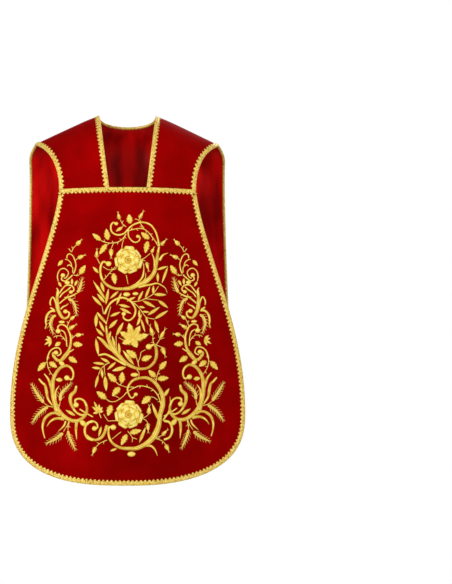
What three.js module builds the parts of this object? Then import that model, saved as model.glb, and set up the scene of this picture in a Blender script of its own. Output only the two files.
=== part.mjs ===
// A Roman (fiddleback) chasuble: crimson velvet on an interlining and a satin
// lining, bound with gold braid and embroidered, hanging as it is worn.
// Millimetres, +Z up. The front faces -Y and the wearer's left is +X. The origin
// is the point midway between the two neck points, on top of the shoulders.
import * as THREE from "three";
import { mergeVertices } from "three/addons/utils/BufferGeometryUtils.js";

// Shoulders and neck
const NECK_HALF = 80; // half width of the neck opening on the shoulder ridge
const NECK_DIP = 24; // drop of the neckline at the nape
const SHOULDER_HALF = 270; // half width across the shoulder tips
const SHOULDER_DROP = 80; // drop from neck point to shoulder tip
const RIDGE_SOFTNESS = 15; // rounding of the ridge line at the neck point
const ROLL_FRONT = 150; // height over which the cloth turns down at the front
const ROLL_BACK = 110; // the same at the back

// Front panel
const SEAM_DROP = 212; // depth of the chest seam at its two ends
const SEAM_ARCH = 5; // rise of the chest seam at its middle
const SEAM_HALF = 187; // half length of the chest seam
const NECK_FOOT_HALF = 53; // half width of the neck opening at the chest seam
const STRAP_CURVE = 2.2; // hollow of the armhole edge
const FRONT_HALF = 323; // half width where the front is widest
const FRONT_WIDEST_DROP = 826;
const FRONT_LENGTH = 1016; // from the neck point to the hem
const FRONT_FLARE = 1.4; // exponent of the fiddle-shaped side
const FRONT_CORNER = 2.75; // squareness of the rounded hem corners

// Back panel
const BACK_HALF = 307;
const BACK_WIDEST_DROP = 806;
const BACK_LENGTH = 1079;
const BACK_FLARE = 1.8;
const BACK_SWELL = 10; // how far the armhole edge swells out just under the shoulder tip
const BACK_SWELL_SHARE = 0.14; // of the back's side, taken by that swelling
const BACK_CORNER = 3;

// How far the panels stand off the plane of the shoulder ridge
const CHEST_DEPTH = 128;
const FRONT_SIDE_TURN = 62; // how far the sides turn back over the half width
const FRONT_LEAN = 0.1; // slope of the front towards the hem
const BACK_DEPTH = 104;
const BACK_SIDE_TURN = 50;
const BACK_LEAN = 0.03;

// Cloth and trimmings
const GAP = 0.3; // between layers of cloth
const LINING = 0.5;
const INTERLINING = 0.8;
const VELVET = 1.5;
const TRIM_GAP = 0.8; // between the velvet and what is laid on it
const BRAID = 1.5;
const BRAID_WIDTH = 14;
const THREADS = 1.2; // height of the embroidery
const SHOULDER_SEAM_GAP = 0.6;
const CHEST_SEAM_GAP = 0.6;

// Embroidered fields, as half widths and drops below the neck point
const COLUMN_HALF = 100;
const SPRAY_INNER = 112; // inner edge of the side sprays
const FRONT_FIELD_TOP = 268;
const FRONT_FIELD_LENGTH = 680;
const FRONT_SPRAY_TOP = 345;
const FRONT_SPRAY_LENGTH = 570;
const FRONT_SPRAY_WIDTH = 155;
const BACK_FIELD_TOP = 420;
const BACK_FIELD_LENGTH = 610;
const BACK_SPRAY_TOP = 482;
const BACK_SPRAY_LENGTH = 530;
const BACK_SPRAY_WIDTH = 155;
const WREATH_TOP = 62;
const WREATH_LENGTH = 352;
const WREATH_HALF = 240;
const GLORY_DROP = 281; // centre of the rays
const GLORY_HALF_WIDTH = 125;
const GLORY_HALF_HEIGHT = 112;
const LAMB_WIDTH = 90;
const LAMB_HEIGHT = 62;
const LAMB_DROP = 230; // top of the lamb
const BOOK_WIDTH = 112;
const BOOK_HEIGHT = 38;

// Facets
const FRONT_COLUMNS = 12;
const FRONT_ROWS = 14;
const BACK_RIDGE_COLUMNS = 5; // from a shoulder tip to the neck point
const BACK_NECK_COLUMNS = 3; // from the neck point to the nape
const BACK_ROLL_ROWS = 5;
const BACK_HANG_ROWS = 12;
const BACK_ROLL_SHARE = 0.15; // of the length, taken by the rows over the shoulder
const BACK_ROLL_SPACING = 1.7; // the first row is as deep as the braid at the nape
const STRAP_COLUMNS = 4;
const STRAP_ROWS = 8;

// Heights of each layer above the inner face of the lining
const LAYERS = (() => {
  const interliningFoot = LINING + GAP;
  const velvetFoot = interliningFoot + INTERLINING + GAP;
  const trimFoot = velvetFoot + VELVET + TRIM_GAP;
  return {
    lining: [0, LINING],
    interlining: [interliningFoot, interliningFoot + INTERLINING],
    velvet: [velvetFoot, velvetFoot + VELVET],
    braid: [trimFoot, trimFoot + BRAID],
    threads: [trimFoot, trimFoot + THREADS],
    figure: [trimFoot + THREADS + TRIM_GAP, trimFoot + 2 * THREADS + TRIM_GAP],
  };
})();

const FINISHES = {
  velvet: new THREE.MeshStandardMaterial({ color: 0x8f0a12, roughness: 0.85 }),
  interlining: new THREE.MeshStandardMaterial({ color: 0xd9d2c0, roughness: 0.95 }),
  lining: new THREE.MeshStandardMaterial({ color: 0xd41a1c, roughness: 0.4 }),
  braid: new THREE.MeshStandardMaterial({ color: 0xd0aa3e, roughness: 0.45, metalness: 0.3 }),
  goldThread: new THREE.MeshStandardMaterial({ color: 0xe0c65a, roughness: 0.4, metalness: 0.3 }),
  silverThread: new THREE.MeshStandardMaterial({ color: 0xe6d8d4, roughness: 0.4, metalness: 0.3 }),
  creamThread: new THREE.MeshStandardMaterial({ color: 0xeeddaa, roughness: 0.6 }),
};

// The shape that the cloth hangs in ------------------------------------------

const softStep = (t) => RIDGE_SOFTNESS * Math.log1p(Math.exp(t / RIDGE_SOFTNESS));
const RIDGE_SLOPE = SHOULDER_DROP / (softStep(SHOULDER_HALF - NECK_HALF) - softStep(0));

// Height of the shoulder ridge at a distance x from the middle.
const ridge = (x) => RIDGE_SLOPE * (softStep(0) - softStep(Math.abs(x) - NECK_HALF));

// From 0 on the ridge to 1 where the cloth hangs straight down: a quarter ellipse.
const roll = (t) => (t <= 0 ? 0 : t >= 1 ? 1 : Math.sqrt(1 - (1 - t) ** 2));

// A point of the front's inner face at x and z.
function onFront(x, z) {
  const drop = ridge(x) - z;
  const depth = CHEST_DEPTH - FRONT_SIDE_TURN * (x / FRONT_HALF) ** 2;
  const lean = FRONT_LEAN * Math.max(0, drop - ROLL_FRONT);
  const y = -SHOULDER_SEAM_GAP / 2 - depth * roll(drop / ROLL_FRONT) - lean;
  return new THREE.Vector3(x, y, z);
}

// A point of the back's inner face at x and z.
function onBack(x, z) {
  const drop = ridge(x) - z;
  const depth = BACK_DEPTH - BACK_SIDE_TURN * (x / BACK_HALF) ** 2;
  const lean = BACK_LEAN * Math.max(0, drop - ROLL_BACK);
  const y = SHOULDER_SEAM_GAP / 2 + depth * roll(drop / ROLL_BACK) + lean;
  return new THREE.Vector3(x, y, z);
}

// A rounded hem corner and half hem: angle 0 is the widest point, PI / 2 the middle.
function hemPoint(half, widestDrop, length, squareness, angle) {
  const x = half * Math.abs(Math.cos(angle)) ** (2 / squareness);
  const drop = widestDrop + (length - widestDrop) * Math.abs(Math.sin(angle)) ** (2 / squareness);
  return new THREE.Vector2(x, -drop);
}

// A curve through many points of a rule, walked by length from 0 to 1.
function walk(rule, steps = 60) {
  const points = Array.from({ length: steps + 1 }, (_, k) => rule(k / steps));
  const curve = new THREE.SplineCurve(points);
  curve.arcLengthDivisions = 4 * steps;
  return (t) => curve.getPointAt(t);
}

// Grids of points and outward normals ----------------------------------------

// A patch bounded by four curves in x and z: top and bottom by column, side by row.
// The left side is the right side mirrored.
function coons(top, bottom, side, u, v) {
  const mirror = (p) => new THREE.Vector2(-p.x, p.y);
  const left = mirror(side(v));
  const right = side(v);
  const mix = (a, b, t) => a.clone().lerp(b, t);
  const ruled = mix(top(u), bottom(u), v).add(mix(left, right, u));
  const corners = mix(mix(mirror(side(0)), side(0), u), mix(mirror(side(1)), side(1), u), v);
  return ruled.sub(corners);
}

// Points at each [column][row], with the normals that point away from the wearer.
function makeGrid(columns, rows, pointAt) {
  const points = [];
  for (let i = 0; i <= columns; i++) {
    points.push(Array.from({ length: rows + 1 }, (_, j) => pointAt(i, j)));
  }
  const at = (i, j) => points[THREE.MathUtils.clamp(i, 0, columns)][THREE.MathUtils.clamp(j, 0, rows)];
  const normals = points.map((column, i) => column.map((_, j) => {
    const across = at(i + 1, j).clone().sub(at(i - 1, j));
    const down = at(i, j + 1).clone().sub(at(i, j - 1));
    return down.cross(across).normalize();
  }));
  const outward = normals.flat().reduce((sum, n) => sum + n.y, 0) * points[0][rows].y > 0 ? 1 : -1;
  normals.flat().forEach((n) => n.multiplyScalar(outward));
  return { columns, rows, points, normals };
}

// The point of a grid at a fractional column and row, raised above the inner face.
function raised(grid, column, row, height) {
  const i = Math.min(Math.floor(column), grid.columns - 1);
  const j = Math.min(Math.floor(row), grid.rows - 1);
  const [s, t] = [column - i, row - j];
  const blend = (field) => field[i][j].clone().multiplyScalar((1 - s) * (1 - t))
    .addScaledVector(field[i + 1][j], s * (1 - t))
    .addScaledVector(field[i][j + 1], (1 - s) * t)
    .addScaledVector(field[i + 1][j + 1], s * t);
  return blend(grid.points).addScaledVector(blend(grid.normals), height);
}

// The fractional column and row of a grid at x and z, by repeated correction.
function locate(grid, x, z) {
  let [column, row] = [grid.columns / 2, grid.rows / 2];
  const step = 1e-3;
  for (let pass = 0; pass < 40; pass++) {
    const here = raised(grid, column, row, 0);
    const right = raised(grid, column + step, row, 0).sub(here).divideScalar(step);
    const below = raised(grid, column, row + step, 0).sub(here).divideScalar(step);
    const det = right.x * below.z - below.x * right.z;
    const [dx, dz] = [x - here.x, z - here.z];
    column = THREE.MathUtils.clamp(column + (dx * below.z - dz * below.x) / det, 0, grid.columns - step);
    row = THREE.MathUtils.clamp(row + (dz * right.x - dx * right.z) / det, 0, grid.rows - step);
  }
  return [column, row];
}

// Solids ---------------------------------------------------------------------

// A closed sheet over lines of fractional columns and rows, between two heights.
// keep(i, j) says which of its cells are there.
function sheet(grid, columns, rows, [foot, top], keep = () => true) {
  const positions = [];
  const corner = (i, j, height) => raised(grid, columns[i], rows[j], height).toArray();
  const quad = (...corners) => {
    const [a, b, c, d] = corners;
    positions.push(...a, ...b, ...c, ...a, ...c, ...d);
  };
  const there = (i, j) => i >= 0 && j >= 0 && i < columns.length - 1 && j < rows.length - 1 && keep(i, j);
  for (let i = 0; i < columns.length - 1; i++) {
    for (let j = 0; j < rows.length - 1; j++) {
      if (!there(i, j)) continue;
      const low = [[i, j], [i + 1, j], [i + 1, j + 1], [i, j + 1]].map((p) => corner(...p, foot));
      const high = [[i, j], [i + 1, j], [i + 1, j + 1], [i, j + 1]].map((p) => corner(...p, top));
      quad(...high);
      positions.push(...low[0], ...low[2], ...low[1], ...low[0], ...low[3], ...low[2]);
      const around = [there(i, j - 1), there(i + 1, j), there(i, j + 1), there(i - 1, j)];
      around.forEach((neighbour, k) => {
        const next = (k + 1) % 4;
        if (!neighbour) quad(high[next], high[k], low[k], low[next]);
      });
    }
  }
  return closed(positions);
}

// A closed solid from loose triangles, turned outside out if it came inside out.
function closed(positions) {
  const loose = new THREE.BufferGeometry();
  loose.setAttribute("position", new THREE.Float32BufferAttribute(positions, 3));
  const solid = mergeVertices(loose, 1e-3);
  if (volume(solid) < 0) {
    const index = solid.getIndex().array;
    for (let k = 0; k < index.length; k += 3) [index[k], index[k + 1]] = [index[k + 1], index[k]];
  }
  solid.computeVertexNormals();
  return solid;
}

function volume(geometry) {
  const [index, position] = [geometry.getIndex(), geometry.getAttribute("position")];
  const corner = (k) => new THREE.Vector3().fromBufferAttribute(position, index.getX(k));
  let sum = 0;
  for (let k = 0; k < index.count; k += 3) sum += corner(k).dot(corner(k + 1).cross(corner(k + 2)));
  return sum / 6;
}

const range = (count) => Array.from({ length: count + 1 }, (_, k) => k);
const layer = (grid, heights) => sheet(grid, range(grid.columns), range(grid.rows), heights);

// A strip of braid along a list of border [column, row, inward column, inward row],
// of which the row may be fractional.
function braidStrip(grid, path) {
  const [foot, top] = LAYERS.braid;
  const sections = path.map(([i, j, inI, inJ]) => {
    const run = raised(grid, i, j, 0).distanceTo(raised(grid, inI, inJ, 0));
    const share = BRAID_WIDTH / run;
    const [column, row] = [i + (inI - i) * share, j + (inJ - j) * share];
    return [raised(grid, i, j, foot), raised(grid, column, row, foot),
      raised(grid, column, row, top), raised(grid, i, j, top)].map((p) => p.toArray());
  });
  const positions = [];
  const quad = (a, b, c, d) => positions.push(...a, ...b, ...c, ...a, ...c, ...d);
  for (let k = 0; k < sections.length - 1; k++) {
    range(3).forEach((c) => {
      const next = (c + 1) % 4;
      quad(sections[k][c], sections[k][next], sections[k + 1][next], sections[k + 1][c]);
    });
  }
  quad(...[...sections[0]].reverse());
  quad(...sections.at(-1));
  return closed(positions);
}

// Lines of fractional indices from low to high, with the grid's own lines between.
function lines(low, high) {
  const between = range(Math.ceil(high)).filter((k) => k > low + 0.05 && k < high - 0.05);
  return [low, ...between, high];
}

// A thin plate of threads over a field given by its middle, top, width and height.
function field(grid, middle, topDrop, width, height, heights = LAYERS.threads) {
  const centre = -topDrop - height / 2;
  const [left] = locate(grid, middle - width / 2, centre);
  const [right] = locate(grid, middle + width / 2, centre);
  const [, top] = locate(grid, middle, -topDrop);
  const [, bottom] = locate(grid, middle, -topDrop - height);
  return sheet(grid, lines(left, right), lines(top, bottom), heights);
}

// A plate with a rectangular hole, both centred on x = 0.
function frameField(grid, outer, inner, heights = LAYERS.threads) {
  const span = ({ half, top, length }) => {
    const centre = -top - length / 2;
    return [locate(grid, -half, centre)[0], locate(grid, half, centre)[0],
      locate(grid, 0, -top)[1], locate(grid, 0, -top - length)[1]];
  };
  const [left, right, top, bottom] = span(outer);
  const [inLeft, inRight, inTop, inBottom] = span(inner);
  const merge = (low, high, a, b) => [...lines(low, a), ...lines(a, b).slice(1), ...lines(b, high).slice(1)];
  const columns = merge(left, right, inLeft, inRight);
  const rows = merge(top, bottom, inTop, inBottom);
  const inside = (i, j) => columns[i] >= inLeft && columns[i + 1] <= inRight
    && rows[j] >= inTop && rows[j + 1] <= inBottom;
  return sheet(grid, columns, rows, heights, (i, j) => !inside(i, j));
}

// The pieces -----------------------------------------------------------------

function frontGrid() {
  const top = (u) => {
    const x = (2 * u - 1) * SEAM_HALF;
    return new THREE.Vector2(x, -SEAM_DROP + SEAM_ARCH * (1 - (x / SEAM_HALF) ** 2));
  };
  const fall = FRONT_WIDEST_DROP - SEAM_DROP;
  const sideLength = fall + (FRONT_LENGTH - FRONT_WIDEST_DROP) / 2;
  const share = fall / sideLength;
  const side = walk((t) => {
    if (t > share) {
      const angle = ((t - share) / (1 - share)) * (Math.PI / 4);
      return hemPoint(FRONT_HALF, FRONT_WIDEST_DROP, FRONT_LENGTH, FRONT_CORNER, angle);
    }
    const flare = Math.sin((t / share) * (Math.PI / 2)) ** FRONT_FLARE;
    return new THREE.Vector2(SEAM_HALF + (FRONT_HALF - SEAM_HALF) * flare, -SEAM_DROP - (fall * t) / share);
  });
  const bottom = (u) => {
    const angle = Math.PI * (0.25 + 0.5 * (1 - u));
    const point = hemPoint(FRONT_HALF, FRONT_WIDEST_DROP, FRONT_LENGTH, FRONT_CORNER, angle);
    return new THREE.Vector2(angle > Math.PI / 2 ? -point.x : point.x, point.y);
  };
  return makeGrid(FRONT_COLUMNS, FRONT_ROWS, (i, j) => {
    const p = coons(top, bottom, side, i / FRONT_COLUMNS, j / FRONT_ROWS);
    return onFront(p.x, p.y);
  });
}

function backGrid() {
  const halfColumns = BACK_RIDGE_COLUMNS + BACK_NECK_COLUMNS;
  const columns = 2 * halfColumns;
  const top = (u) => {
    const k = Math.abs(2 * u - 1) * halfColumns; // 0 at the nape
    const sign = Math.sign(2 * u - 1);
    if (k <= BACK_NECK_COLUMNS) {
      const angle = (1 - k / BACK_NECK_COLUMNS) * (Math.PI / 2);
      return new THREE.Vector2(sign * NECK_HALF * Math.cos(angle), -NECK_DIP * Math.sin(angle));
    }
    const share = (k - BACK_NECK_COLUMNS) / BACK_RIDGE_COLUMNS;
    const x = NECK_HALF + (SHOULDER_HALF - NECK_HALF) * share;
    return new THREE.Vector2(sign * x, ridge(x));
  };
  const fall = BACK_WIDEST_DROP - SHOULDER_DROP;
  const sideLength = fall + (BACK_LENGTH - BACK_WIDEST_DROP) / 2;
  const share = fall / sideLength;
  const side = walk((t) => {
    if (t > share) {
      const angle = ((t - share) / (1 - share)) * (Math.PI / 4);
      return hemPoint(BACK_HALF, BACK_WIDEST_DROP, BACK_LENGTH, BACK_CORNER, angle);
    }
    const swell = BACK_SWELL * (1 - (1 - Math.min(1, t / share / BACK_SWELL_SHARE)) ** 2);
    const flare = (BACK_HALF - SHOULDER_HALF - BACK_SWELL) * (t / share) ** BACK_FLARE;
    const x = SHOULDER_HALF + swell + flare;
    return new THREE.Vector2(x, -SHOULDER_DROP - (fall * t) / share);
  });
  const bottom = (u) => {
    const angle = Math.PI * (0.25 + 0.5 * (1 - u));
    const point = hemPoint(BACK_HALF, BACK_WIDEST_DROP, BACK_LENGTH, BACK_CORNER, angle);
    return new THREE.Vector2(angle > Math.PI / 2 ? -point.x : point.x, point.y);
  };
  const rowShare = (j) => (j <= BACK_ROLL_ROWS
    ? BACK_ROLL_SHARE * (j / BACK_ROLL_ROWS) ** BACK_ROLL_SPACING
    : BACK_ROLL_SHARE + (1 - BACK_ROLL_SHARE) * ((j - BACK_ROLL_ROWS) / BACK_HANG_ROWS));
  return makeGrid(columns, BACK_ROLL_ROWS + BACK_HANG_ROWS, (i, j) => {
    const p = coons(top, bottom, side, i / columns, rowShare(j));
    return onBack(p.x, p.y);
  });
}

// One shoulder, from the ridge down to the chest seam; side is 1 on the wearer's left.
function strapGrid(side) {
  return makeGrid(STRAP_COLUMNS, STRAP_ROWS, (i, j) => {
    const fall = (j / STRAP_ROWS) ** 2; // share of the way down, close together on the ridge
    const inner = NECK_HALF + (NECK_FOOT_HALF - NECK_HALF) * fall;
    const outer = SEAM_HALF + (SHOULDER_HALF - SEAM_HALF) * (1 - fall) ** STRAP_CURVE;
    const x = inner + (outer - inner) * (i / STRAP_COLUMNS);
    const foot = -SEAM_DROP + SEAM_ARCH * (1 - (x / SEAM_HALF) ** 2) + CHEST_SEAM_GAP;
    const z = ridge(x) + (foot - ridge(x)) * fall;
    return onFront(side * x, z);
  });
}

const assembly = new THREE.Group();

function add(name, geometry, finish) {
  const mesh = new THREE.Mesh(geometry, FINISHES[finish]);
  mesh.name = name;
  assembly.add(mesh);
}

function addCloth(grid, prefix, suffix = "") {
  add(`${prefix}_velvet${suffix}`, layer(grid, LAYERS.velvet), "velvet");
  add(`${prefix}_interlining${suffix}`, layer(grid, LAYERS.interlining), "interlining");
  add(`${prefix}_lining${suffix}`, layer(grid, LAYERS.lining), "lining");
}

// Border cells from the top of one side, round the hem, to the top of the other.
function hemPath(grid) {
  const { columns, rows } = grid;
  const down = range(rows - 1).map((j) => [0, j, 1, j]);
  const along = range(columns - 2).map((k) => [k + 1, rows, k + 1, rows - 1]);
  const up = range(rows - 1).map((k) => [columns, rows - 1 - k, columns - 1, rows - 1 - k]);
  return [...down, [0, rows, 1, rows - 1], ...along, [columns, rows, columns - 1, rows - 1], ...up];
}

function addFront() {
  const grid = frontGrid();
  addCloth(grid, "front");
  const firstRow = grid.points[0][0].distanceTo(grid.points[0][1]);
  const start = (BRAID_WIDTH + TRIM_GAP) / firstRow; // just below the braid on the chest seam
  const belowTopBraid = hemPath(grid).map(([i, j, inI, inJ]) => [i, Math.max(j, start), inI, Math.max(inJ, start)]);
  add("front_edge_braid", braidStrip(grid, belowTopBraid), "braid");
  const topPath = range(grid.columns).map((i) => [i, 0, i, 1]);
  add("front_top_braid", braidStrip(grid, topPath), "braid");
  add("front_column_embroidery",
    field(grid, 0, FRONT_FIELD_TOP, 2 * COLUMN_HALF, FRONT_FIELD_LENGTH), "goldThread");
  for (const [name, side] of [["left", 1], ["right", -1]]) {
    const middle = side * (SPRAY_INNER + FRONT_SPRAY_WIDTH / 2);
    add(`front_spray_embroidery_${name}`,
      field(grid, middle, FRONT_SPRAY_TOP, FRONT_SPRAY_WIDTH, FRONT_SPRAY_LENGTH), "goldThread");
  }
}

function addShoulder(name, side) {
  const grid = strapGrid(side);
  addCloth(grid, "shoulder", `_${name}`);
  const rows = range(grid.rows);
  add(`neck_braid_${name}`, braidStrip(grid, rows.map((j) => [0, j, 1, j])), "braid");
  const edge = grid.columns;
  add(`armhole_braid_${name}`, braidStrip(grid, rows.map((j) => [edge, j, edge - 1, j])), "braid");
}

function addBack() {
  const grid = backGrid();
  addCloth(grid, "back");
  add("back_edge_braid", braidStrip(grid, hemPath(grid)), "braid");
  const nape = range(2 * BACK_NECK_COLUMNS).map((k) => BACK_RIDGE_COLUMNS + k);
  add("back_neck_braid", sheet(grid, nape, [0, 1], LAYERS.braid), "braid");
  add("back_column_embroidery",
    field(grid, 0, BACK_FIELD_TOP, 2 * COLUMN_HALF, BACK_FIELD_LENGTH), "goldThread");
  for (const [name, side] of [["left", 1], ["right", -1]]) {
    const middle = side * (SPRAY_INNER + BACK_SPRAY_WIDTH / 2);
    add(`back_spray_embroidery_${name}`,
      field(grid, middle, BACK_SPRAY_TOP, BACK_SPRAY_WIDTH, BACK_SPRAY_LENGTH), "goldThread");
  }
  const rays = {
    half: GLORY_HALF_WIDTH,
    top: GLORY_DROP - GLORY_HALF_HEIGHT,
    length: 2 * GLORY_HALF_HEIGHT,
  };
  const hole = { half: rays.half + TRIM_GAP, top: rays.top - TRIM_GAP, length: rays.length + 2 * TRIM_GAP };
  add("back_wreath_embroidery",
    frameField(grid, { half: WREATH_HALF, top: WREATH_TOP, length: WREATH_LENGTH }, hole), "goldThread");
  add("back_rays_embroidery", field(grid, 0, rays.top, 2 * rays.half, rays.length), "silverThread");
  add("back_lamb_embroidery",
    field(grid, 0, LAMB_DROP, LAMB_WIDTH, LAMB_HEIGHT, LAYERS.figure), "creamThread");
  add("back_book_embroidery",
    field(grid, 0, LAMB_DROP + LAMB_HEIGHT + TRIM_GAP, BOOK_WIDTH, BOOK_HEIGHT, LAYERS.figure), "goldThread");
}

addFront();
addShoulder("left", 1);
addShoulder("right", -1);
addBack();

export default assembly;
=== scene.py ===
"""A Roman chasuble in crimson velvet: cloth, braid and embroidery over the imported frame.

The cloth hangs as it is worn, with its front towards -Y. Lengths are in metres and
the origin is midway between the two neck points, on top of the shoulders.
"""

import logging
import math
from dataclasses import dataclass, field
from enum import Enum
from typing import Callable, Sequence

import bpy
import numpy as np
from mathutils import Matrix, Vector


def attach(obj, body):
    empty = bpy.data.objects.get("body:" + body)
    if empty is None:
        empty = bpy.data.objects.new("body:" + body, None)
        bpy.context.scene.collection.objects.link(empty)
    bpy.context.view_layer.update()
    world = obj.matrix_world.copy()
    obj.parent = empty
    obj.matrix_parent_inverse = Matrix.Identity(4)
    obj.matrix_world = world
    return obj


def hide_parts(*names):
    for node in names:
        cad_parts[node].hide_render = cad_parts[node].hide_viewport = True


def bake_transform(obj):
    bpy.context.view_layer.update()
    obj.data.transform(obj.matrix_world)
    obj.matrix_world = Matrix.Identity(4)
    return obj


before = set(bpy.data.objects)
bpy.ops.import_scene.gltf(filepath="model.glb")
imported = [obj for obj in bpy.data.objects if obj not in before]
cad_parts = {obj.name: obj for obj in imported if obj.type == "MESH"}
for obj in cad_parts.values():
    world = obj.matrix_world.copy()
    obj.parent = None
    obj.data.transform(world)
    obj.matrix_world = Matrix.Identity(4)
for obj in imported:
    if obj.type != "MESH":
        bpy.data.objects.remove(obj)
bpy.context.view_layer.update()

MM = 0.001
LOG = logging.getLogger("chasuble")

Pair = tuple[float, float]
Array = np.ndarray
Piece = bpy.types.Object
Socket = bpy.types.NodeSocket


# --- Finishes ---


class Nodes:
    """A node tree, with short calls for adding and joining nodes."""

    def __init__(self, tree: bpy.types.NodeTree) -> None:
        """Take the tree to work on."""
        self.tree = tree

    def add(self, kind: str, settings: dict | None = None, **inputs: object) -> bpy.types.Node:
        """Add a node.

        Args:
            kind: the node's type name.
            settings: values for its properties by name.
            inputs: values for its inputs by name, with _ for a space, or links.

        Returns:
            The new node.
        """
        made = self.tree.nodes.new(kind)
        for name, value in (settings or {}).items():
            setattr(made, name, value)
        for name, value in inputs.items():
            self.give(made.inputs[name.replace("_", " ")], value)
        return made

    def give(self, socket: Socket, value: object) -> None:
        """Link an output to a socket, or set the socket's own value.

        Args:
            socket: the input to feed.
            value: an output to link, or a plain value.
        """
        if isinstance(value, Socket):
            self.tree.links.new(value, socket)
        else:
            socket.default_value = value


class Shader(Nodes):
    """A material's node tree round its Principled shader."""

    def __init__(self, name: str) -> None:
        """Start a material that holds only a Principled shader and its output.

        Args:
            name: the material's name.
        """
        self.material = bpy.data.materials.new(name)
        self.material.use_nodes = True
        super().__init__(self.material.node_tree)
        self.surface = self.tree.nodes["Principled BSDF"]

    def set(self, **inputs: object) -> None:
        """Set or link the Principled shader's inputs by name."""
        for name, value in inputs.items():
            self.give(self.surface.inputs[name.replace("_", " ")], value)

    def place(self) -> Socket:
        """Return the object's own coordinates."""
        return self.add("ShaderNodeTexCoord").outputs["Object"]

    def stitches(self) -> Socket:
        """Return the coordinates that run along and across each run of stitches."""
        return self.add("ShaderNodeUVMap", {"uv_map": Needlework.UV}).outputs["UV"]

    def noise(self, at: Socket, scale: float, detail: float = 2.0) -> Socket:
        """Return a soft noise between 0 and 1."""
        return self.add("ShaderNodeTexNoise", Vector=at, Scale=scale, Detail=detail).outputs["Fac"]

    def mix_in(self, value: Socket, share: float, base: Socket) -> Socket:
        """Return base with a share of value added.

        Args:
            value: what is added.
            share: how much of it.
            base: what it is added to.

        Returns:
            The sum's socket.
        """
        made = self.add("ShaderNodeMath", {"operation": "MULTIPLY_ADD"})
        for socket, given in zip(made.inputs, (value, share, base)):
            self.give(socket, given)
        return made.outputs[0]

    def ramp(self, value: Socket, stops: Sequence[tuple]) -> Socket:
        """Return a colour that follows value through (position, colour) stops.

        Args:
            value: what the colour follows.
            stops: positions from 0 to 1, each with its colour.

        Returns:
            The colour's socket.
        """
        made = self.add("ShaderNodeValToRGB", Fac=value)
        elements = made.color_ramp.elements
        while len(elements) < len(stops):
            elements.new(0.5)
        for element, (position, colour) in zip(elements, stops):
            element.position = position
            element.color = (*colour, 1.0)
        return made.outputs["Color"]

    def bump(self, height: Socket, distance: float, strength: float,
             under: Socket | None = None) -> Socket:
        """Return a normal raised by height, over another bump where one is given.

        Args:
            height: what raises the surface.
            distance: its full height.
            strength: its share, from 0 to 1.
            under: the normal of the bump beneath, or none.

        Returns:
            The normal's socket.
        """
        made = self.add("ShaderNodeBump", Height=height, Distance=distance, Strength=strength)
        if under is not None:
            self.give(made.inputs["Normal"], under)
        return made.outputs["Normal"]


@dataclass(frozen=True)
class VelvetPile:
    """Short-piled crimson velvet, with painted sheen and shade in soft patches of lighter and darker red.
    """

    name: str = "crimson_velvet"
    deep: tuple = (0.125, 0.0, 0.0)
    mid: tuple = (0.265, 0.0, 0.0)
    bright: tuple = (0.46, 0.0, 0.001)
    nap_sheen_scale: float = 3.4
    crush_scale: float = 17.0
    pile_scale: float = 900.0
    pile_height: float = 0.6 * MM
    crush_height: float = 2.5 * MM

    def material(self) -> bpy.types.Material:
        """Return the finish as a material.

        Returns:
            The material.
        """
        shader = Shader(self.name)
        place = shader.place()
        stretched = shader.add("ShaderNodeMapping", Vector=place, Scale=(1.0, 1.0, 0.35))
        nap_sheen = shader.noise(stretched.outputs["Vector"], self.nap_sheen_scale, 3.0)
        crush_and_sheen = shader.noise(place, self.crush_scale, 3.0)
        # Painted sheen and shade: soft lighter and darker patches of red, as the pile would catch or lose
        # the light.
        colour = shader.ramp(shader.mix_in(crush_and_sheen, 0.35, nap_sheen),
                             [(0.30, self.deep), (0.66, self.mid), (1.0, self.bright)])
        pile = shader.noise(place, self.pile_scale)
        soft = shader.bump(crush_and_sheen, self.crush_height, 0.35)
        shader.set(Base_Color=colour, Roughness=0.86, Specular_IOR_Level=0.06,
                   Specular_Tint=(1.0, 0.2, 0.1, 1.0),
                   Normal=shader.bump(pile, self.pile_height, 0.45, soft),
                   Sheen_Weight=0.20, Sheen_Roughness=0.30, Sheen_Tint=(1.0, 0.01, 0.006, 1.0))
        return shader.material


@dataclass(frozen=True)
class SatinLining:
    """Bright red lining satin with soft creases, with painted shade in the creases and painted highlight on
    the folds.
    """

    name: str = "red_satin"
    shade: tuple = (0.27, 0.0, 0.0)
    light: tuple = (0.80, 0.003, 0.003)
    crease_scale: float = 9.0
    crease_height: float = 9 * MM
    weave_scale: float = 1400.0
    weave_height: float = 0.15 * MM

    def material(self) -> bpy.types.Material:
        """Return the finish as a material.

        Returns:
            The material.
        """
        shader = Shader(self.name)
        place = shader.place()
        along = shader.add("ShaderNodeMapping", Vector=place, Rotation=(0.0, 0.35, 0.0),
                           Scale=(2.0, 2.0, 0.55))
        crease = shader.noise(along.outputs["Vector"], self.crease_scale)
        # Painted shade in the creases and painted highlight on the folds, from the noise that raises the
        # creases.
        colour = shader.ramp(crease, [(0.34, self.shade), (0.60, self.light)])
        weave = shader.noise(place, self.weave_scale, 1.0)
        folds = shader.bump(crease, self.crease_height, 0.55)
        shader.set(Base_Color=colour, Roughness=0.36, Specular_IOR_Level=0.4,
                   Specular_Tint=(1.0, 0.22, 0.20, 1.0),
                   Normal=shader.bump(weave, self.weave_height, 0.3, folds))
        return shader.material


@dataclass(frozen=True)
class LinenCanvas:
    """Natural linen interlining with a plain weave."""

    name: str = "linen_canvas"
    yarn: tuple = (0.62, 0.56, 0.44)
    shade: tuple = (0.40, 0.35, 0.26)
    thread_scale: float = 420.0
    thread_height: float = 0.3 * MM

    def material(self) -> bpy.types.Material:
        """Return the finish as a material.

        Returns:
            The material.
        """
        shader = Shader(self.name)
        slubs = shader.noise(shader.place(), self.thread_scale)
        shader.set(Base_Color=shader.ramp(slubs, [(0.3, self.shade), (0.7, self.yarn)]),
                   Roughness=0.9, Normal=shader.bump(slubs, self.thread_height, 0.5))
        return shader.material


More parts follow.
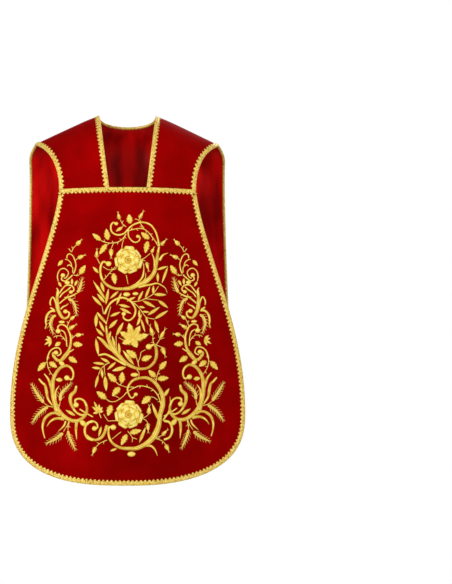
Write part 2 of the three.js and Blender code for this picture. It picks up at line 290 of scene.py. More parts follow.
@dataclass(frozen=True)
class GalloonBraid:
    """Woven metallic braid: grains of gold with painted glints, and painted shade in the hollows between
    them.
    """

    name: str = "gold_galloon"
    # The hollow colour is painted shade and the glint colour a painted highlight.
    hollow: tuple = (0.40, 0.22, 0.015)
    gold: tuple = (0.94, 0.64, 0.09)
    glint: tuple = (1.0, 0.88, 0.34)
    grain_scale: float = 330.0
    grain_height: float = 0.8 * MM

    def material(self) -> bpy.types.Material:
        """Return the finish as a material.

        Returns:
            The material.
        """
        shader = Shader(self.name)
        grain = shader.noise(shader.place(), self.grain_scale)
        # Painted shade in the hollows and painted glints on the grains, from the noise that raises the
        # grains.
        colour = shader.ramp(grain, [(0.34, self.hollow), (0.50, self.gold), (0.72, self.glint)])
        shader.set(Base_Color=colour, Metallic=0.2, Roughness=0.42, Specular_IOR_Level=0.5,
                   Normal=shader.bump(grain, self.grain_height, 0.6))
        return shader.material


@dataclass(frozen=True)
class SatinStitch:
    """Glossy thread laid side by side across each shape, with light and shade painted from each run's tone.
    """

    name: str
    shade: tuple
    thread: tuple
    light: tuple
    threads_per_mm: float = 1.3
    patch_scale: float = 120.0
    metallic: float = 0.0
    roughness: float = 0.46
    WAVES = 10  # half turns of the wave texture in one unit of its scale

    def material(self) -> bpy.types.Material:
        """Return the finish as a material.

        Returns:
            The material.
        """
        shader = Shader(self.name)
        along = shader.stitches()
        wave = shader.add("ShaderNodeTexWave", {"wave_type": "BANDS", "bands_direction": "DIAGONAL"},
                          Vector=along, Scale=self.threads_per_mm * math.pi / self.WAVES,
                          Distortion=0.6, Detail=1.0)
        # The tone attribute paints light and shade: darker sides, veins, furrows and bases, lighter crowns
        # and tips.
        tone = shader.add("ShaderNodeAttribute", {"attribute_name": Needlework.TONE})
        stitched = shader.mix_in(wave.outputs["Fac"], 0.22, tone.outputs["Fac"])
        patches = shader.mix_in(shader.noise(shader.place(), self.patch_scale), 0.35, stitched)
        colour = shader.ramp(patches, [(0.36, self.shade), (0.72, self.thread), (1.0, self.light)])
        shader.set(Base_Color=colour, Metallic=self.metallic, Roughness=self.roughness,
                   Specular_IOR_Level=0.35,
                   Normal=shader.bump(wave.outputs["Fac"], 0.35 * MM, 0.5))
        return shader.material


class Finish(Enum):
    """The finishes of this garment, each with its material slot in the record."""

    VELVET = ("velvet", VelvetPile())
    LINING = ("satin_lining", SatinLining())
    INTERLINING = ("interlining", LinenCanvas())
    BRAID = ("gold_braid", GalloonBraid())
    GOLD = ("gold_thread", SatinStitch(
        "stitched_gold", (0.62, 0.31, 0.014), (1.0, 0.72, 0.085), (1.0, 0.93, 0.33), metallic=0.06))
    SILVER = ("silver_thread", SatinStitch(
        "stitched_silver", (0.90, 0.70, 0.68), (1.0, 0.93, 0.91), (1.0, 1.0, 1.0)))
    CREAM = ("cream_thread", SatinStitch(
        "stitched_cream", (0.55, 0.40, 0.16), (0.90, 0.79, 0.47), (1.0, 0.94, 0.72)))

    @property
    def slot(self) -> str:
        """The record's material slot."""
        return self.value[0]

    def material(self) -> bpy.types.Material:
        """Return the finish's material, made once."""
        return bpy.data.materials.get(self.value[1].name) or self.value[1].material()


# --- How the cloth hangs ---


@dataclass(frozen=True)
class Layers:
    """Heights above the inner face of the lining."""

    lining: Pair = (0.0, 0.5 * MM)
    interlining: Pair = (0.8 * MM, 1.6 * MM)
    velvet: Pair = (1.9 * MM, 3.4 * MM)

    @property
    def face(self) -> float:
        """The velvet's outer face."""
        return self.velvet[1]


LAYERS = Layers()


@dataclass(frozen=True)
class Drape:
    """The shape that the garment hangs in, over shoulders, chest and back."""

    neck_half: float = 80 * MM
    shoulder_half: float = 260 * MM
    shoulder_drop: float = 80 * MM
    ridge_softness: float = 15 * MM
    roll_front: float = 150 * MM
    roll_back: float = 110 * MM
    chest_depth: float = 128 * MM
    front_half: float = 323 * MM
    front_turn: float = 62 * MM
    front_lean: float = 0.1
    back_depth: float = 104 * MM
    back_half: float = 307 * MM
    back_turn: float = 50 * MM
    back_lean: float = 0.03
    fold_depth: float = 3.0 * MM
    fold_start: float = 0.25  # drop where the folds begin to open
    fold_growth: float = 0.6  # drop over which they reach their depth
    wide_fold: float = 0.043  # width of a fold, over two pi
    narrow_fold: float = 0.023
    fold_reach: float = 0.30  # half width where narrow folds are at their full depth
    front_phase: float = 0.4
    back_phase: float = 1.9

    def ridge(self, x: Array) -> Array:
        """Return the height of the shoulder ridge at x.

        Args:
            x: distances from the middle.

        Returns:
            Heights, 0 at the neck points.
        """
        def soft(t: Array) -> Array:
            """Return a rise from 0 to a slope of 1, rounded where it starts."""
            return self.ridge_softness * np.log1p(np.exp(t / self.ridge_softness))
        slope = self.shoulder_drop / (soft(self.shoulder_half - self.neck_half) - soft(0.0))
        return slope * (soft(0.0) - soft(np.abs(x) - self.neck_half))

    @staticmethod
    def roll(t: Array) -> Array:
        """Return the quarter ellipse from 0 on the ridge to 1 where the cloth hangs."""
        return np.sqrt(1 - (1 - np.clip(t, 0, 1)) ** 2)

    def folds(self, x: Array, drop: Array, back: bool) -> Array:
        """Return the soft folds that fall from the shoulders, outward positive.

        Args:
            x: distances from the middle.
            drop: distances below the ridge.
            back: whether this is the back.

        Returns:
            How far the cloth stands out.
        """
        down = np.clip((drop - self.fold_start) / self.fold_growth, 0, 1) ** 1.3
        phase = self.back_phase if back else self.front_phase
        wide = np.sin(x / self.wide_fold + phase + 0.5 * np.sin(drop * 5.0))
        narrow = np.sin(x / self.narrow_fold - 1.3 * phase + 0.7 * np.sin(drop * 7.0 + 1.0))
        edge = np.clip(np.abs(x) / self.fold_reach, 0, 1) ** 2
        return self.fold_depth * down * (0.9 * wide + 0.5 * narrow * edge)

    def front(self, x: Array, z: Array) -> Array:
        """Return y on the front's inner face at x and z.

        Args:
            x: distances from the middle.
            z: heights.

        Returns:
            Values of y.
        """
        drop = self.ridge(x) - z
        depth = self.chest_depth - self.front_turn * (x / self.front_half) ** 2
        lean = self.front_lean * np.maximum(0, drop - self.roll_front)
        return -depth * self.roll(drop / self.roll_front) - lean - self.folds(x, drop, False)

    def back(self, x: Array, z: Array) -> Array:
        """Return y on the back's inner face at x and z.

        Args:
            x: distances from the middle.
            z: heights.

        Returns:
            Values of y.
        """
        drop = self.ridge(x) - z
        depth = self.back_depth - self.back_turn * (x / self.back_half) ** 2
        lean = self.back_lean * np.maximum(0, drop - self.roll_back)
        return depth * self.roll(drop / self.roll_back) + lean + self.folds(x, drop, True)


DRAPE = Drape()


class Side(Enum):
    """Which face of the garment: its sign along Y and its rule for y."""

    FRONT = -1
    BACK = 1

    def depth(self, x: Array, z: Array) -> Array:
        """Return y of the inner face at x and z."""
        return DRAPE.front(x, z) if self is Side.FRONT else DRAPE.back(x, z)

    def normal(self, x: Array, z: Array) -> Array:
        """Return the outward normal at x and z.

        Args:
            x: distances from the middle.
            z: heights.

        Returns:
            Unit vectors.
        """
        step = 0.05 * MM
        across = (self.depth(x + step, z) - self.depth(x - step, z)) / (2 * step)
        up = (self.depth(x, z + step) - self.depth(x, z - step)) / (2 * step)
        normal = np.stack([-across, np.ones_like(up), -up], axis=-1) * self.value
        return normal / np.linalg.norm(normal, axis=-1, keepdims=True)

    def raise_to(self, x: Array, z: Array, height: Array) -> Array:
        """Return points at a height above the inner face, one row for each x and z."""
        here = np.stack([x, self.depth(x, z), z], axis=-1)
        return here + self.normal(x, z) * np.asarray(height)[..., None]


Rule = Callable[[Array], Array]


def hem_curve(half: float, widest: float, length: float, squareness: float, angle: Array) -> Array:
    """Return points of a hem with rounded corners.

    Args:
        half: half width where the panel is widest.
        widest: drop of the widest place.
        length: drop of the hem at its middle.
        squareness: exponent of the corner; 2 is round.
        angle: 0 at one side, half a turn at the other.

    Returns:
        An array of x and z.
    """
    cos, sin = np.cos(angle), np.sin(angle)
    x = half * np.sign(cos) * np.abs(cos) ** (2 / squareness)
    drop = widest + (length - widest) * np.abs(sin) ** (2 / squareness)
    return np.stack([x, -drop], axis=-1)


def by_length(points: Array) -> Rule:
    """Return a rule that walks a polyline by its length from 0 to 1.

    Args:
        points: its corners, one in each row.

    Returns:
        A rule from shares of its length to points.
    """
    steps = np.linalg.norm(np.diff(points, axis=0), axis=1)
    run = np.concatenate([[0], np.cumsum(steps)]) / steps.sum()
    return lambda t: np.stack([np.interp(t, run, points[:, k]) for k in range(points.shape[1])], axis=-1)


@dataclass
class Panel:
    """A panel of cloth bounded by a top, a bottom and two mirrored sides."""

    side: Side
    top: Rule
    bottom: Rule
    edge: Rule
    over_ridge: bool = False

    def rows(self, w: Array) -> Array:
        """Return the share of the side at row w, closer together on the ridge."""
        return w * w * (3 - w) / 2 if self.over_ridge else w

    def flat(self, u: Array, w: Array) -> Array:
        """Return x and z of the panel at column u and row w, both from 0 to 1.

        Args:
            u: columns, from 0 to 1.
            w: rows, from 0 to 1.

        Returns:
            Rows of x and z.
        """
        v = self.rows(w)
        right = self.edge(v)
        mirror = np.array((-1, 1))
        u_, v_ = u[..., None], v[..., None]
        ruled = self.top(u) * (1 - v_) + self.bottom(u) * v_ + right * mirror * (1 - u_) + right * u_
        start, end = self.edge(np.zeros(1))[0], self.edge(np.ones(1))[0]
        upper = start * mirror * (1 - u_) + start * u_
        lower = end * mirror * (1 - u_) + end * u_
        return ruled - (upper * (1 - v_) + lower * v_)

    def surface(self, u: Array, w: Array) -> Array:
        """Return points of the inner face."""
        p = self.flat(u, w)
        return np.stack([p[..., 0], self.side.depth(p[..., 0], p[..., 1]), p[..., 1]], axis=-1)

    def frame(self, u: Array, w: Array) -> tuple[Array, Array]:
        """Return points of the inner face and their outward normals."""
        p = self.flat(u, w)
        return self.surface(u, w), self.side.normal(p[..., 0], p[..., 1])


@dataclass
class Strap(Panel):
    """One shoulder from the ridge down to the chest seam; hand is 1 on the left."""

    hand: int = 1
    seam_half: float = 187 * MM
    foot_half: float = 53 * MM
    hollow: float = 2.2

    def flat(self, u: Array, w: Array) -> Array:
        """Return x and z of the strap, column 0 at the neck.

        Args:
            u: columns, from 0 to 1.
            w: rows, from 0 to 1.

        Returns:
            Rows of x and z.
        """
        fall = w * w
        inner = DRAPE.neck_half + (self.foot_half - DRAPE.neck_half) * fall
        outer = self.seam_half + (DRAPE.shoulder_half - self.seam_half) * (1 - fall) ** self.hollow
        x = inner + (outer - inner) * u
        foot = FrontCut.seam(x)
        ridge = DRAPE.ridge(x)
        return np.stack([self.hand * x, ridge + (foot - ridge) * fall], axis=-1)


@dataclass(frozen=True)
class Cut:
    """The outline of a hanging panel: flared sides and a hem with rounded corners."""

    half: float
    widest: float
    length: float
    flare: float
    corner: float
    SIDE_STEPS = 160
    CORNER_STEPS = 60

    def bottom(self, u: Array) -> Array:
        """Return x and z of the hem at column u."""
        return hem_curve(self.half, self.widest, self.length, self.corner, math.pi * (0.75 - 0.5 * u))

    def edge(self, x: Array, start: float) -> Rule:
        """Return the rule of the right side.

        Args:
            x: half widths from its start down to the widest place.
            start: drop of its start.

        Returns:
            A rule from shares of its length to x and z.
        """
        drop = start + (self.widest - start) * np.linspace(0, 1, len(x))
        turn = np.linspace(0, math.pi / 4, self.CORNER_STEPS)
        corner = hem_curve(self.half, self.widest, self.length, self.corner, turn)
        return by_length(np.vstack([np.stack([x, -drop], axis=-1), corner[1:]]))


@dataclass(frozen=True)
class FrontCut(Cut):
    """The outline of the front panel."""

    seam_drop: float = 212 * MM
    seam_arch: float = 5 * MM
    seam_half: float = 187 * MM
    half: float = 323 * MM
    widest: float = 826 * MM
    length: float = 1016 * MM
    flare: float = 1.4
    corner: float = 2.75

    @classmethod
    def seam(cls, x: Array) -> Array:
        """Return z of the chest seam at x."""
        return -cls.seam_drop + cls.seam_arch * (1 - (x / cls.seam_half) ** 2)

    def top(self, u: Array) -> Array:
        """Return x and z of the chest seam at column u."""
        x = (2 * u - 1) * self.seam_half
        return np.stack([x, self.seam(x)], axis=-1)

    def panel(self) -> Panel:
        """Return the panel.

        Returns:
            The panel.
        """
        swing = np.sin(np.linspace(0, 1, self.SIDE_STEPS) * math.pi / 2) ** self.flare
        x = self.seam_half + (self.half - self.seam_half) * swing
        return Panel(Side.FRONT, self.top, self.bottom, self.edge(x, self.seam_drop))


@dataclass(frozen=True)
class BackCut(Cut):
    """The outline of the back panel, with the neckline in its top edge."""

    neck_dip: float = 24 * MM
    half: float = 307 * MM
    widest: float = 806 * MM
    length: float = 1079 * MM
    flare: float = 1.8
    swell: float = 20 * MM  # of the armhole edge, just under the shoulder tip
    swell_share: float = 0.06
    corner: float = 3.0
    ridge_share: float = 0.31  # of the columns, from a shoulder tip to the neck point

    def top(self, u: Array) -> Array:
        """Return the top edge, along a shoulder, round the nape and along the other shoulder.

        Args:
            u: columns, from 0 to 1.

        Returns:
            Rows of x and z.
        """
        k = np.abs(2 * u - 1)
        neck = 1 - 2 * self.ridge_share
        angle = (1 - np.minimum(k / neck, 1)) * math.pi / 2
        share = np.clip((k - neck) / (1 - neck), 0, 1)
        on_neck = k <= neck
        x = np.where(on_neck, DRAPE.neck_half * np.cos(angle),
                     DRAPE.neck_half + (DRAPE.shoulder_half - DRAPE.neck_half) * share)
        z = np.where(on_neck, -self.neck_dip * np.sin(angle), DRAPE.ridge(x))
        return np.stack([np.sign(2 * u - 1) * x, z], axis=-1)

    def panel(self) -> Panel:
        """Return the panel.

        Returns:
            The panel.
        """
        t = np.linspace(0, 1, self.SIDE_STEPS)
        swell = self.swell * (1 - (1 - np.minimum(1, t / self.swell_share)) ** 2)
        x = DRAPE.shoulder_half + swell + (self.half - DRAPE.shoulder_half - self.swell) * t**self.flare
        return Panel(Side.BACK, self.top, self.bottom, self.edge(x, DRAPE.shoulder_drop), over_ridge=True)


# --- Making pieces ---


@dataclass(frozen=True)
class Ride:
    """How a piece moves: with one body; a piece that reaches onto a second body is not bent, its transform
    is only baked.
    """

    body: str
    onto: str | None = None
    start: tuple = ()
    end: tuple = ()

    def take(self, piece: Piece) -> None:
        """Attach a piece to its body, or, where it reaches onto a second body, only bake its transform.

        Args:
            piece: the piece.
        """
        if self.onto is None:
            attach(piece, self.body)
        else:
            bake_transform(piece)


ON_SHOULDERS = Ride("shoulders")
ON_FRONT = Ride("shoulders", "front_panel", (0.0, 0.0, -0.207), (0.0, 0.0, -0.327))
ON_BACK = Ride("shoulders", "back_panel", (0.0, 0.036, -0.018), (0.0, 0.2, -0.1))


def make_mesh(name: str, points: Array, faces: Sequence, uvs: Array | None = None,
              tones: Array | None = None) -> Piece:
    """Return a smooth-shaded object of points and faces.

    Args:
        name: the object's name.
        points: one row for each vertex.
        faces: vertex numbers of each face.
        uvs: one row for each vertex, or none.
        tones: how light the thread looks at each vertex, from 0 to 1, or none: painted light and shade, and
            any darker thread.

    Returns:
        The object, linked to the scene.
    """
    mesh = bpy.data.meshes.new(name)
    mesh.from_pydata([tuple(p) for p in points], [], [tuple(f) for f in faces])
    if uvs is not None:
        layer = mesh.uv_layers.new(name=Needlework.UV)
        corners = np.empty(len(mesh.loops), dtype=np.int32)
        mesh.loops.foreach_get("vertex_index", corners)
        layer.uv.foreach_set("vector", np.asarray(uvs, dtype=np.float32)[corners].ravel())
    if tones is not None:
        shade = mesh.attributes.new(Needlework.TONE, "FLOAT", "POINT")
        shade.data.foreach_set("value", np.asarray(tones, dtype=np.float32))
    mesh.polygons.foreach_set("use_smooth", [True] * len(mesh.polygons))
    mesh.update()
    piece = bpy.data.objects.new(name, mesh)
    bpy.context.scene.collection.objects.link(piece)
    return piece


def finish_piece(piece: Piece, finish: Finish, ride: Ride, *nodes: str) -> Piece:
    """Give a piece its finish and its motion, and hide the imported parts of the nodes that it stands for.

    Args:
        piece: the piece.
        finish: its finish.
        ride: how it moves.
        nodes: names of the nodes.

    Returns:
        The same piece.
    """
    piece.data.materials.clear()
    piece.data.materials.append(finish.material())
    ride.take(piece)
    if nodes:
        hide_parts(*nodes)
    LOG.info("%s: %d faces", piece.name, len(piece.data.polygons))
    return piece


@dataclass(frozen=True)
class Cloth:
    """One layer of one panel as a closed sheet."""

    name: str
    panel: Panel
    heights: Pair
    finish: Finish
    ride: Ride
    columns: int = 96
    rows: int = 120

    def build(self, trimmings: Sequence[Piece] = ()) -> Piece:
        """Return the sheet.

        Args:
            trimmings: the pieces that are sewn on it; not used.

        Returns:
            The sheet.
        """
        shares = (np.linspace(0, 1, count + 1) for count in (self.columns, self.rows))
        u, w = np.meshgrid(*shares, indexing="ij")
        here, normal = self.panel.frame(u, w)
        foot, top = (here + normal * height for height in self.heights)
        points = np.concatenate([top.reshape(-1, 3), foot.reshape(-1, 3)])
        piece = make_mesh(f"{self.name}_cloth", points, self._faces(top, normal))
        finish_piece(piece, self.finish, self.ride, self.name)
        return piece

    def _faces(self, top: Array, normal: Array) -> list[tuple]:
        """Return quads of both faces and the edge, turned outwards.

        Args:
            top: points of the outer face.
            normal: outward normals there.

        Returns:
            Vertex numbers of each face.
        """
        across, down = self.columns + 1, self.rows + 1
        number = np.arange(across * down).reshape(across, down)
        corners = [number[:-1, :-1], number[1:, :-1], number[1:, 1:], number[:-1, 1:]]
        quads = np.stack(corners, axis=-1).reshape(-1, 4)
        i, j = self.columns // 2, self.rows // 2
        turn = np.cross(top[i + 1, j] - top[i, j], top[i, j + 1] - top[i, j])
        if turn @ normal[i, j] < 0:
            quads = quads[:, ::-1]
        rim = np.concatenate([number[:, 0], number[-1, 1:], number[-2::-1, -1], number[0, -2:0:-1]])
        ahead = np.roll(rim, -1)
        under = across * down
        wall = np.stack([rim, ahead, ahead + under, rim + under], axis=-1)
        if turn @ normal[i, j] >= 0:
            wall = wall[:, ::-1]
        return [tuple(f) for f in np.vstack([quads, quads[:, ::-1] + under, wall]).tolist()]

    @staticmethod
    def _cut_size(here: Array) -> tuple[float, Pair]:
        """Return the flat area and the width and length that the panel was cut to.

        Args:
            here: points of the inner face.

        Returns:
            The area, and the width and length along the cloth.
        """
        across = here[1:, :-1] - here[:-1, :-1]
        down = here[:-1, 1:] - here[:-1, :-1]
        area = np.linalg.norm(np.cross(across, down), axis=-1).sum()
        width = np.linalg.norm(np.diff(here, axis=0), axis=-1).sum(axis=0).max()
        length = np.linalg.norm(np.diff(here, axis=1), axis=-1).sum(axis=1).max()
        return round(float(area), 3), (round(float(width), 3), round(float(length), 3))


# --- Braid ---


class Scatter(Nodes):
    """A Geometry Nodes tree with named inputs."""

    def __init__(self, name: str, objects: Sequence[str], **sizes: float) -> None:
        """Start a tree with a geometry input and output, objects and sizes.

        Args:
            name: the tree's name.
            objects: names of inputs that take an object.
            sizes: inputs that take a number, with their values.
        """
        super().__init__(bpy.data.node_groups.new(name, "GeometryNodeTree"))
        self.sizes = dict(sizes)
        plan = [("Geometry", "OUTPUT", "Geometry"), ("Geometry", "INPUT", "Geometry")]
        plan += [(size, "INPUT", "Float") for size in sizes]
        plan += [(given, "INPUT", "Object") for given in objects]
        for label, way, kind in plan:
            self.tree.interface.new_socket(label, in_out=way, socket_type=f"NodeSocket{kind}")
        self.start = self.tree.nodes.new("NodeGroupInput").outputs
        self.finish = self.tree.nodes.new("NodeGroupOutput").inputs["Geometry"]

    def scaled(self, vector: Socket, by: float) -> Socket:
        """Return a vector times a number."""
        return self.add("ShaderNodeVectorMath", {"operation": "SCALE"}, Vector=vector, Scale=by).outputs[0]

    def total(self, kind: str, settings: dict | None, *given: Socket) -> Socket:
        """Return what a node makes of all that it is given, in order.

        Args:
            kind: the node's type name.
            settings: values for its properties.
            given: what it is given.

        Returns:
            The node's output.
        """
        made = self.add(kind, settings)
        several = made.inputs[0].is_multi_input
        for k, value in enumerate(given):
            self.give(made.inputs[0 if several else k], value)
        return made.outputs[0]

    def run(self, piece: Piece, **objects: Piece) -> Piece:
        """Apply the tree to an object.

        Args:
            piece: the object that it starts from.
            objects: what its object inputs take, by name.

        Returns:
            The same object with the result as its plain mesh.
        """
        modifier = piece.modifiers.new(self.tree.name, "NODES")
        modifier.node_group = self.tree
        given = {**self.sizes, **objects}
        for item in self.tree.interface.items_tree:
            if item.in_out == "INPUT" and item.name in given:
                modifier[item.identifier] = given[item.name]
        graph = bpy.context.evaluated_depsgraph_get()
        mesh = bpy.data.meshes.new_from_object(piece.evaluated_get(graph))
        piece.modifiers.remove(modifier)
        piece.data = mesh
        return piece


@dataclass(frozen=True)
class EdgePath:
    """A line along a cloth edge: points, outward normals and the way inwards."""

    points: Array
    normals: Array
    inward: Array
    WAYS = ("outward", "inward")
    INNER_SHARE = 0.9  # of the way from the panel's middle to its edge

    @classmethod
    def along(cls, panel: Panel, columns: Array, rows: Array) -> "EdgePath":
        """Return the path through columns and rows of a panel's edge.

        Args:
            panel: the panel.
            columns: its columns, from 0 to 1.
            rows: its rows, from 0 to 1.

        Returns:
            The path.
        """
        here, normal = panel.frame(columns, rows)
        tangent = np.gradient(here, axis=0)
        tangent /= np.linalg.norm(tangent, axis=-1, keepdims=True)
        inward = np.cross(normal, tangent)
        nearer = (0.5 + cls.INNER_SHARE * (k - 0.5) for k in (columns, rows))
        inside = panel.surface(*nearer) - here
        inward *= np.sign((inward * inside).sum(-1, keepdims=True).mean())
        return cls(here, normal, inward)

    def object(self, name: str) -> Piece:
        """Return the path as a line of edges that carries its directions.

        Args:
            name: the object's name.

        Returns:
            The object.
        """
        edges = [(k, k + 1) for k in range(len(self.points) - 1)]
        mesh = bpy.data.meshes.new(name)
        mesh.from_pydata([tuple(p) for p in self.points], edges, [])
        for label, values in zip(self.WAYS, (self.normals, self.inward)):
            attribute = mesh.attributes.new(label, "FLOAT_VECTOR", "POINT")
            attribute.data.foreach_set("vector", values.astype(np.float32).ravel())
        line = bpy.data.objects.new(name, mesh)
        bpy.context.scene.collection.objects.link(line)
        return line


@dataclass(frozen=True)
class Galloon:
    """Woven braid: a band that wraps the edge, plaited, with points on its inner side."""

    band: float = 8.6 * MM
    lip: float = 1.8 * MM
    turned: float = 4.6 * MM  # how far it is turned under the edge
    thickness: float = 1.5 * MM
    point_pitch: float = 11.4 * MM
    point_overlap: float = 0.4 * MM  # of the points under the band
    plait_pitch: float = 3.0 * MM
    plait_insets: Pair = (1.9 * MM, 3.2 * MM)  # of the two rows, from the band's two sides
    plait_slant: float = 0.65
    plait_sink: float = 0.15 * MM
    seat: float = 0.05 * MM  # between the band and the cloth

    def section(self, wraps: bool, lift: float) -> Array:
        """Return the band's outline as (inward, height) pairs.

        Args:
            wraps: whether the band turns under the edge.
            lift: how far it is raised.

        Returns:
            The corners of the outline, in order.
        """
        face = LAYERS.face + lift
        top = face + self.thickness
        foot = face + self.seat
        crown = [(-self.lip, face + 0.8 * MM), (-0.6 * self.lip, top - 0.4 * MM), (2 * MM, top),
                 (self.band - 1.6 * MM, top - 0.1 * MM), (self.band, face + 0.7 * MM), (self.band, foot)]
        if wraps:
            under = -0.9 * MM
            return np.array([(self.turned, under), (-self.lip, under), *crown, (-self.seat, foot),
                             (-self.seat, -self.seat), (self.turned, -self.seat)])
        return np.array([(-self.lip, foot), *crown])

    def band_mesh(self, name: str, path: EdgePath, wraps: bool, lift: float) -> Piece:
        """Return the band swept along a path.

        Args:
            name: the object's name.
            path: where it runs.
            wraps: whether it turns under the edge.
            lift: how far it is raised.

        Returns:
            The band, closed at its ends.
        """
        section = self.section(wraps, lift)
        count, sides = len(path.points), len(section)
        rings = (path.points[:, None] + path.inward[:, None] * section[None, :, :1]
                 + path.normals[:, None] * section[None, :, 1:])
        number = np.arange(count * sides).reshape(count, sides)
        ahead = np.roll(number, -1, axis=1)
        quads = np.stack([number[:-1], ahead[:-1], ahead[1:], number[1:]], axis=-1).reshape(-1, 4)
        tangent = path.points[1] - path.points[0]
        if np.cross(path.inward[0], path.normals[0]) @ tangent < 0:
            quads = quads[:, ::-1]
            caps = [number[0].tolist(), number[-1, ::-1].tolist()]
        else:
            caps = [number[0, ::-1].tolist(), number[-1].tolist()]
        return make_mesh(name, rings.reshape(-1, 3), quads.tolist() + caps)

    def point_shape(self) -> Piece:
        """Return one rounded point of the inner edge, pointing along +X.

        Returns:
            The object.
        """
        half = self.point_pitch * 0.46
        right = [(-1.0 * MM, -half), (1.6 * MM, -0.86 * half), (4.0 * MM, -0.42 * half)]
        outline = [*right, (5.6 * MM, 0.0), *((x, -y) for x, y in reversed(right))]
        return dome_object("braid_point", outline, 1.15 * MM, (1.2 * MM, 0.0))

    def plait_shape(self) -> Piece:
        """Return one slanted plait, long along +X.

        Returns:
            The object.
        """
        ring = np.linspace(0, 2 * math.pi, 9)[:-1]
        outline = [(2.5 * MM * math.cos(a), 1.15 * MM * math.sin(a)) for a in ring]
        return dome_object("braid_plait", outline, 0.55 * MM, (0.0, 0.0))

    def tree(self, height: float) -> Scatter:
        """Return the tree that sets points and plaits along a path.

        Args:
            height: of the band's top above the inner face.

        Returns:
            The tree, whose object inputs are Path, Point and Plait.
        """
        tree = Scatter("galloon", ("Path", "Point", "Plait"), Point_Pitch=self.point_pitch,
                       Plait_Pitch=self.plait_pitch)
        line = tree.add("GeometryNodeObjectInfo", Object=tree.start["Path"]).outputs["Geometry"]
        curve = tree.add("GeometryNodeMeshToCurve", Mesh=line).outputs["Curve"]
        outward, inward = (tree.add("GeometryNodeInputNamedAttribute", {"data_type": "FLOAT_VECTOR"},
                                    Name=name).outputs["Attribute"] for name in EdgePath.WAYS)
        rows = [tree.start["Geometry"]]
        plan = [("Point", self.band - self.point_overlap, self.thickness, 0.0),
                ("Plait", self.plait_insets[0], self.plait_sink, self.plait_slant),
                ("Plait", self.band - self.plait_insets[1], self.plait_sink, -self.plait_slant)]
        for shape, inset, sink, slant in plan:
            spots = tree.add("GeometryNodeResampleCurve", {"mode": "LENGTH"}, Curve=curve,
                             Length=tree.start[f"{shape}_Pitch"]).outputs["Curve"]
            offset = tree.total("ShaderNodeVectorMath", {"operation": "ADD"}, tree.scaled(inward, inset),
                                tree.scaled(outward, height - sink))
            moved = tree.add("GeometryNodeSetPosition", Geometry=spots, Offset=offset)
            turn = tree.add("FunctionNodeAxesToRotation", {"primary_axis": "Z", "secondary_axis": "X"},
                            Primary_Axis=outward, Secondary_Axis=inward).outputs["Rotation"]
            lean = tree.add("FunctionNodeRotateRotation", {"rotation_space": "LOCAL"}, Rotation=turn,
                            Rotate_By=(0.0, 0.0, slant)).outputs["Rotation"]
            solid = tree.add("GeometryNodeObjectInfo", Object=tree.start[shape]).outputs["Geometry"]
            placed = tree.add("GeometryNodeInstanceOnPoints", Points=moved.outputs["Geometry"],
                              Instance=solid, Rotation=lean).outputs["Instances"]
            rows.append(tree.add("GeometryNodeRealizeInstances", Geometry=placed).outputs["Geometry"])
        joined = tree.total("GeometryNodeJoinGeometry", None, *rows)
        dressed = tree.add("GeometryNodeSetMaterial", Geometry=joined, Material=Finish.BRAID.material())
        tree.give(tree.finish, dressed.outputs["Geometry"])
        return tree

    def build(self, name: str, path: EdgePath, ride: Ride, wraps: bool = True,
              lift: float = 0.0) -> Piece:
        """Return the whole braid along a path.

        Args:
            name: the node that it stands for.
            path: where it runs.
            ride: how it moves.
            wraps: whether it turns under the edge.
            lift: how far it is raised.

        Returns:
            The braid as one piece.
        """
        piece = self.band_mesh(f"{name}_galloon", path, wraps, lift)
        line = path.object(f"{name}_path")
        shapes = {"Point": self.point_shape(), "Plait": self.plait_shape()}
        tree = self.tree(LAYERS.face + lift + self.thickness)
        tree.run(piece, Path=line, **shapes)
        for helper in (line, *shapes.values()):
            bpy.data.objects.remove(helper)
        return finish_piece(piece, Finish.BRAID, ride, name)


def dome_object(name: str, outline: Sequence[Pair], height: float, crown: Pair) -> Piece:
    """Return a low closed dome over an outline.

    Args:
        name: the object's name.
        outline: its corners, anticlockwise seen from above.
        height: how far the crown stands above the flat foot.
        crown: where the crown is.

    Returns:
        The object, with its foot on z = 0.
    """
    shoulder_share, shoulder_rise = 0.62, 0.78
    count = len(outline)
    middle = np.array(crown)
    foot = np.array(outline)
    shoulder = middle + (foot - middle) * shoulder_share
    points = [(*p, 0.0) for p in foot] + [(*p, shoulder_rise * height) for p in shoulder]
    points += [(*middle, height), (*middle, 0.0)]
    faces = []
    for k in range(count):
        ahead = (k + 1) % count
        faces.append((k, ahead, count + ahead, count + k))
        faces.append((count + k, count + ahead, 2 * count))
        faces.append((ahead, k, 2 * count + 1))
    return make_mesh(name, np.array(points), faces)


# --- Embroidery ---


class Profile(Enum):
    """Cross-sections of a run of stitches, as (share of half width, share of height)."""

    ROUND = ((-1.0, 0.0), (-0.72, 0.7), (0.0, 1.0), (0.72, 0.7), (1.0, 0.0))
    VEINED = ((-1.0, 0.0), (-0.6, 1.0), (-0.1, 0.72), (0.0, 0.35), (0.1, 0.72), (0.6, 1.0), (1.0, 0.0))


@dataclass(frozen=True)
class Placement:
    """Where a design lies on one side of the garment; its own units are millimetres."""

    side: Side
    drop: float
    across: float = 1.0
    down: float = 1.0
    mirrored: bool = False

    def spot(self, points: Array) -> tuple[Array, Array]:
        """Return x and z for design points of (across, down).

        Args:
            points: design points, one in each row.

        Returns:
            Values of x and of z.
        """
        seen_from_behind = -1 if self.side is Side.BACK else 1
        sign = seen_from_behind * (-1 if self.mirrored else 1)
        return points[:, 0] * self.across * sign * MM, -(self.drop + points[:, 1] * self.down * MM)


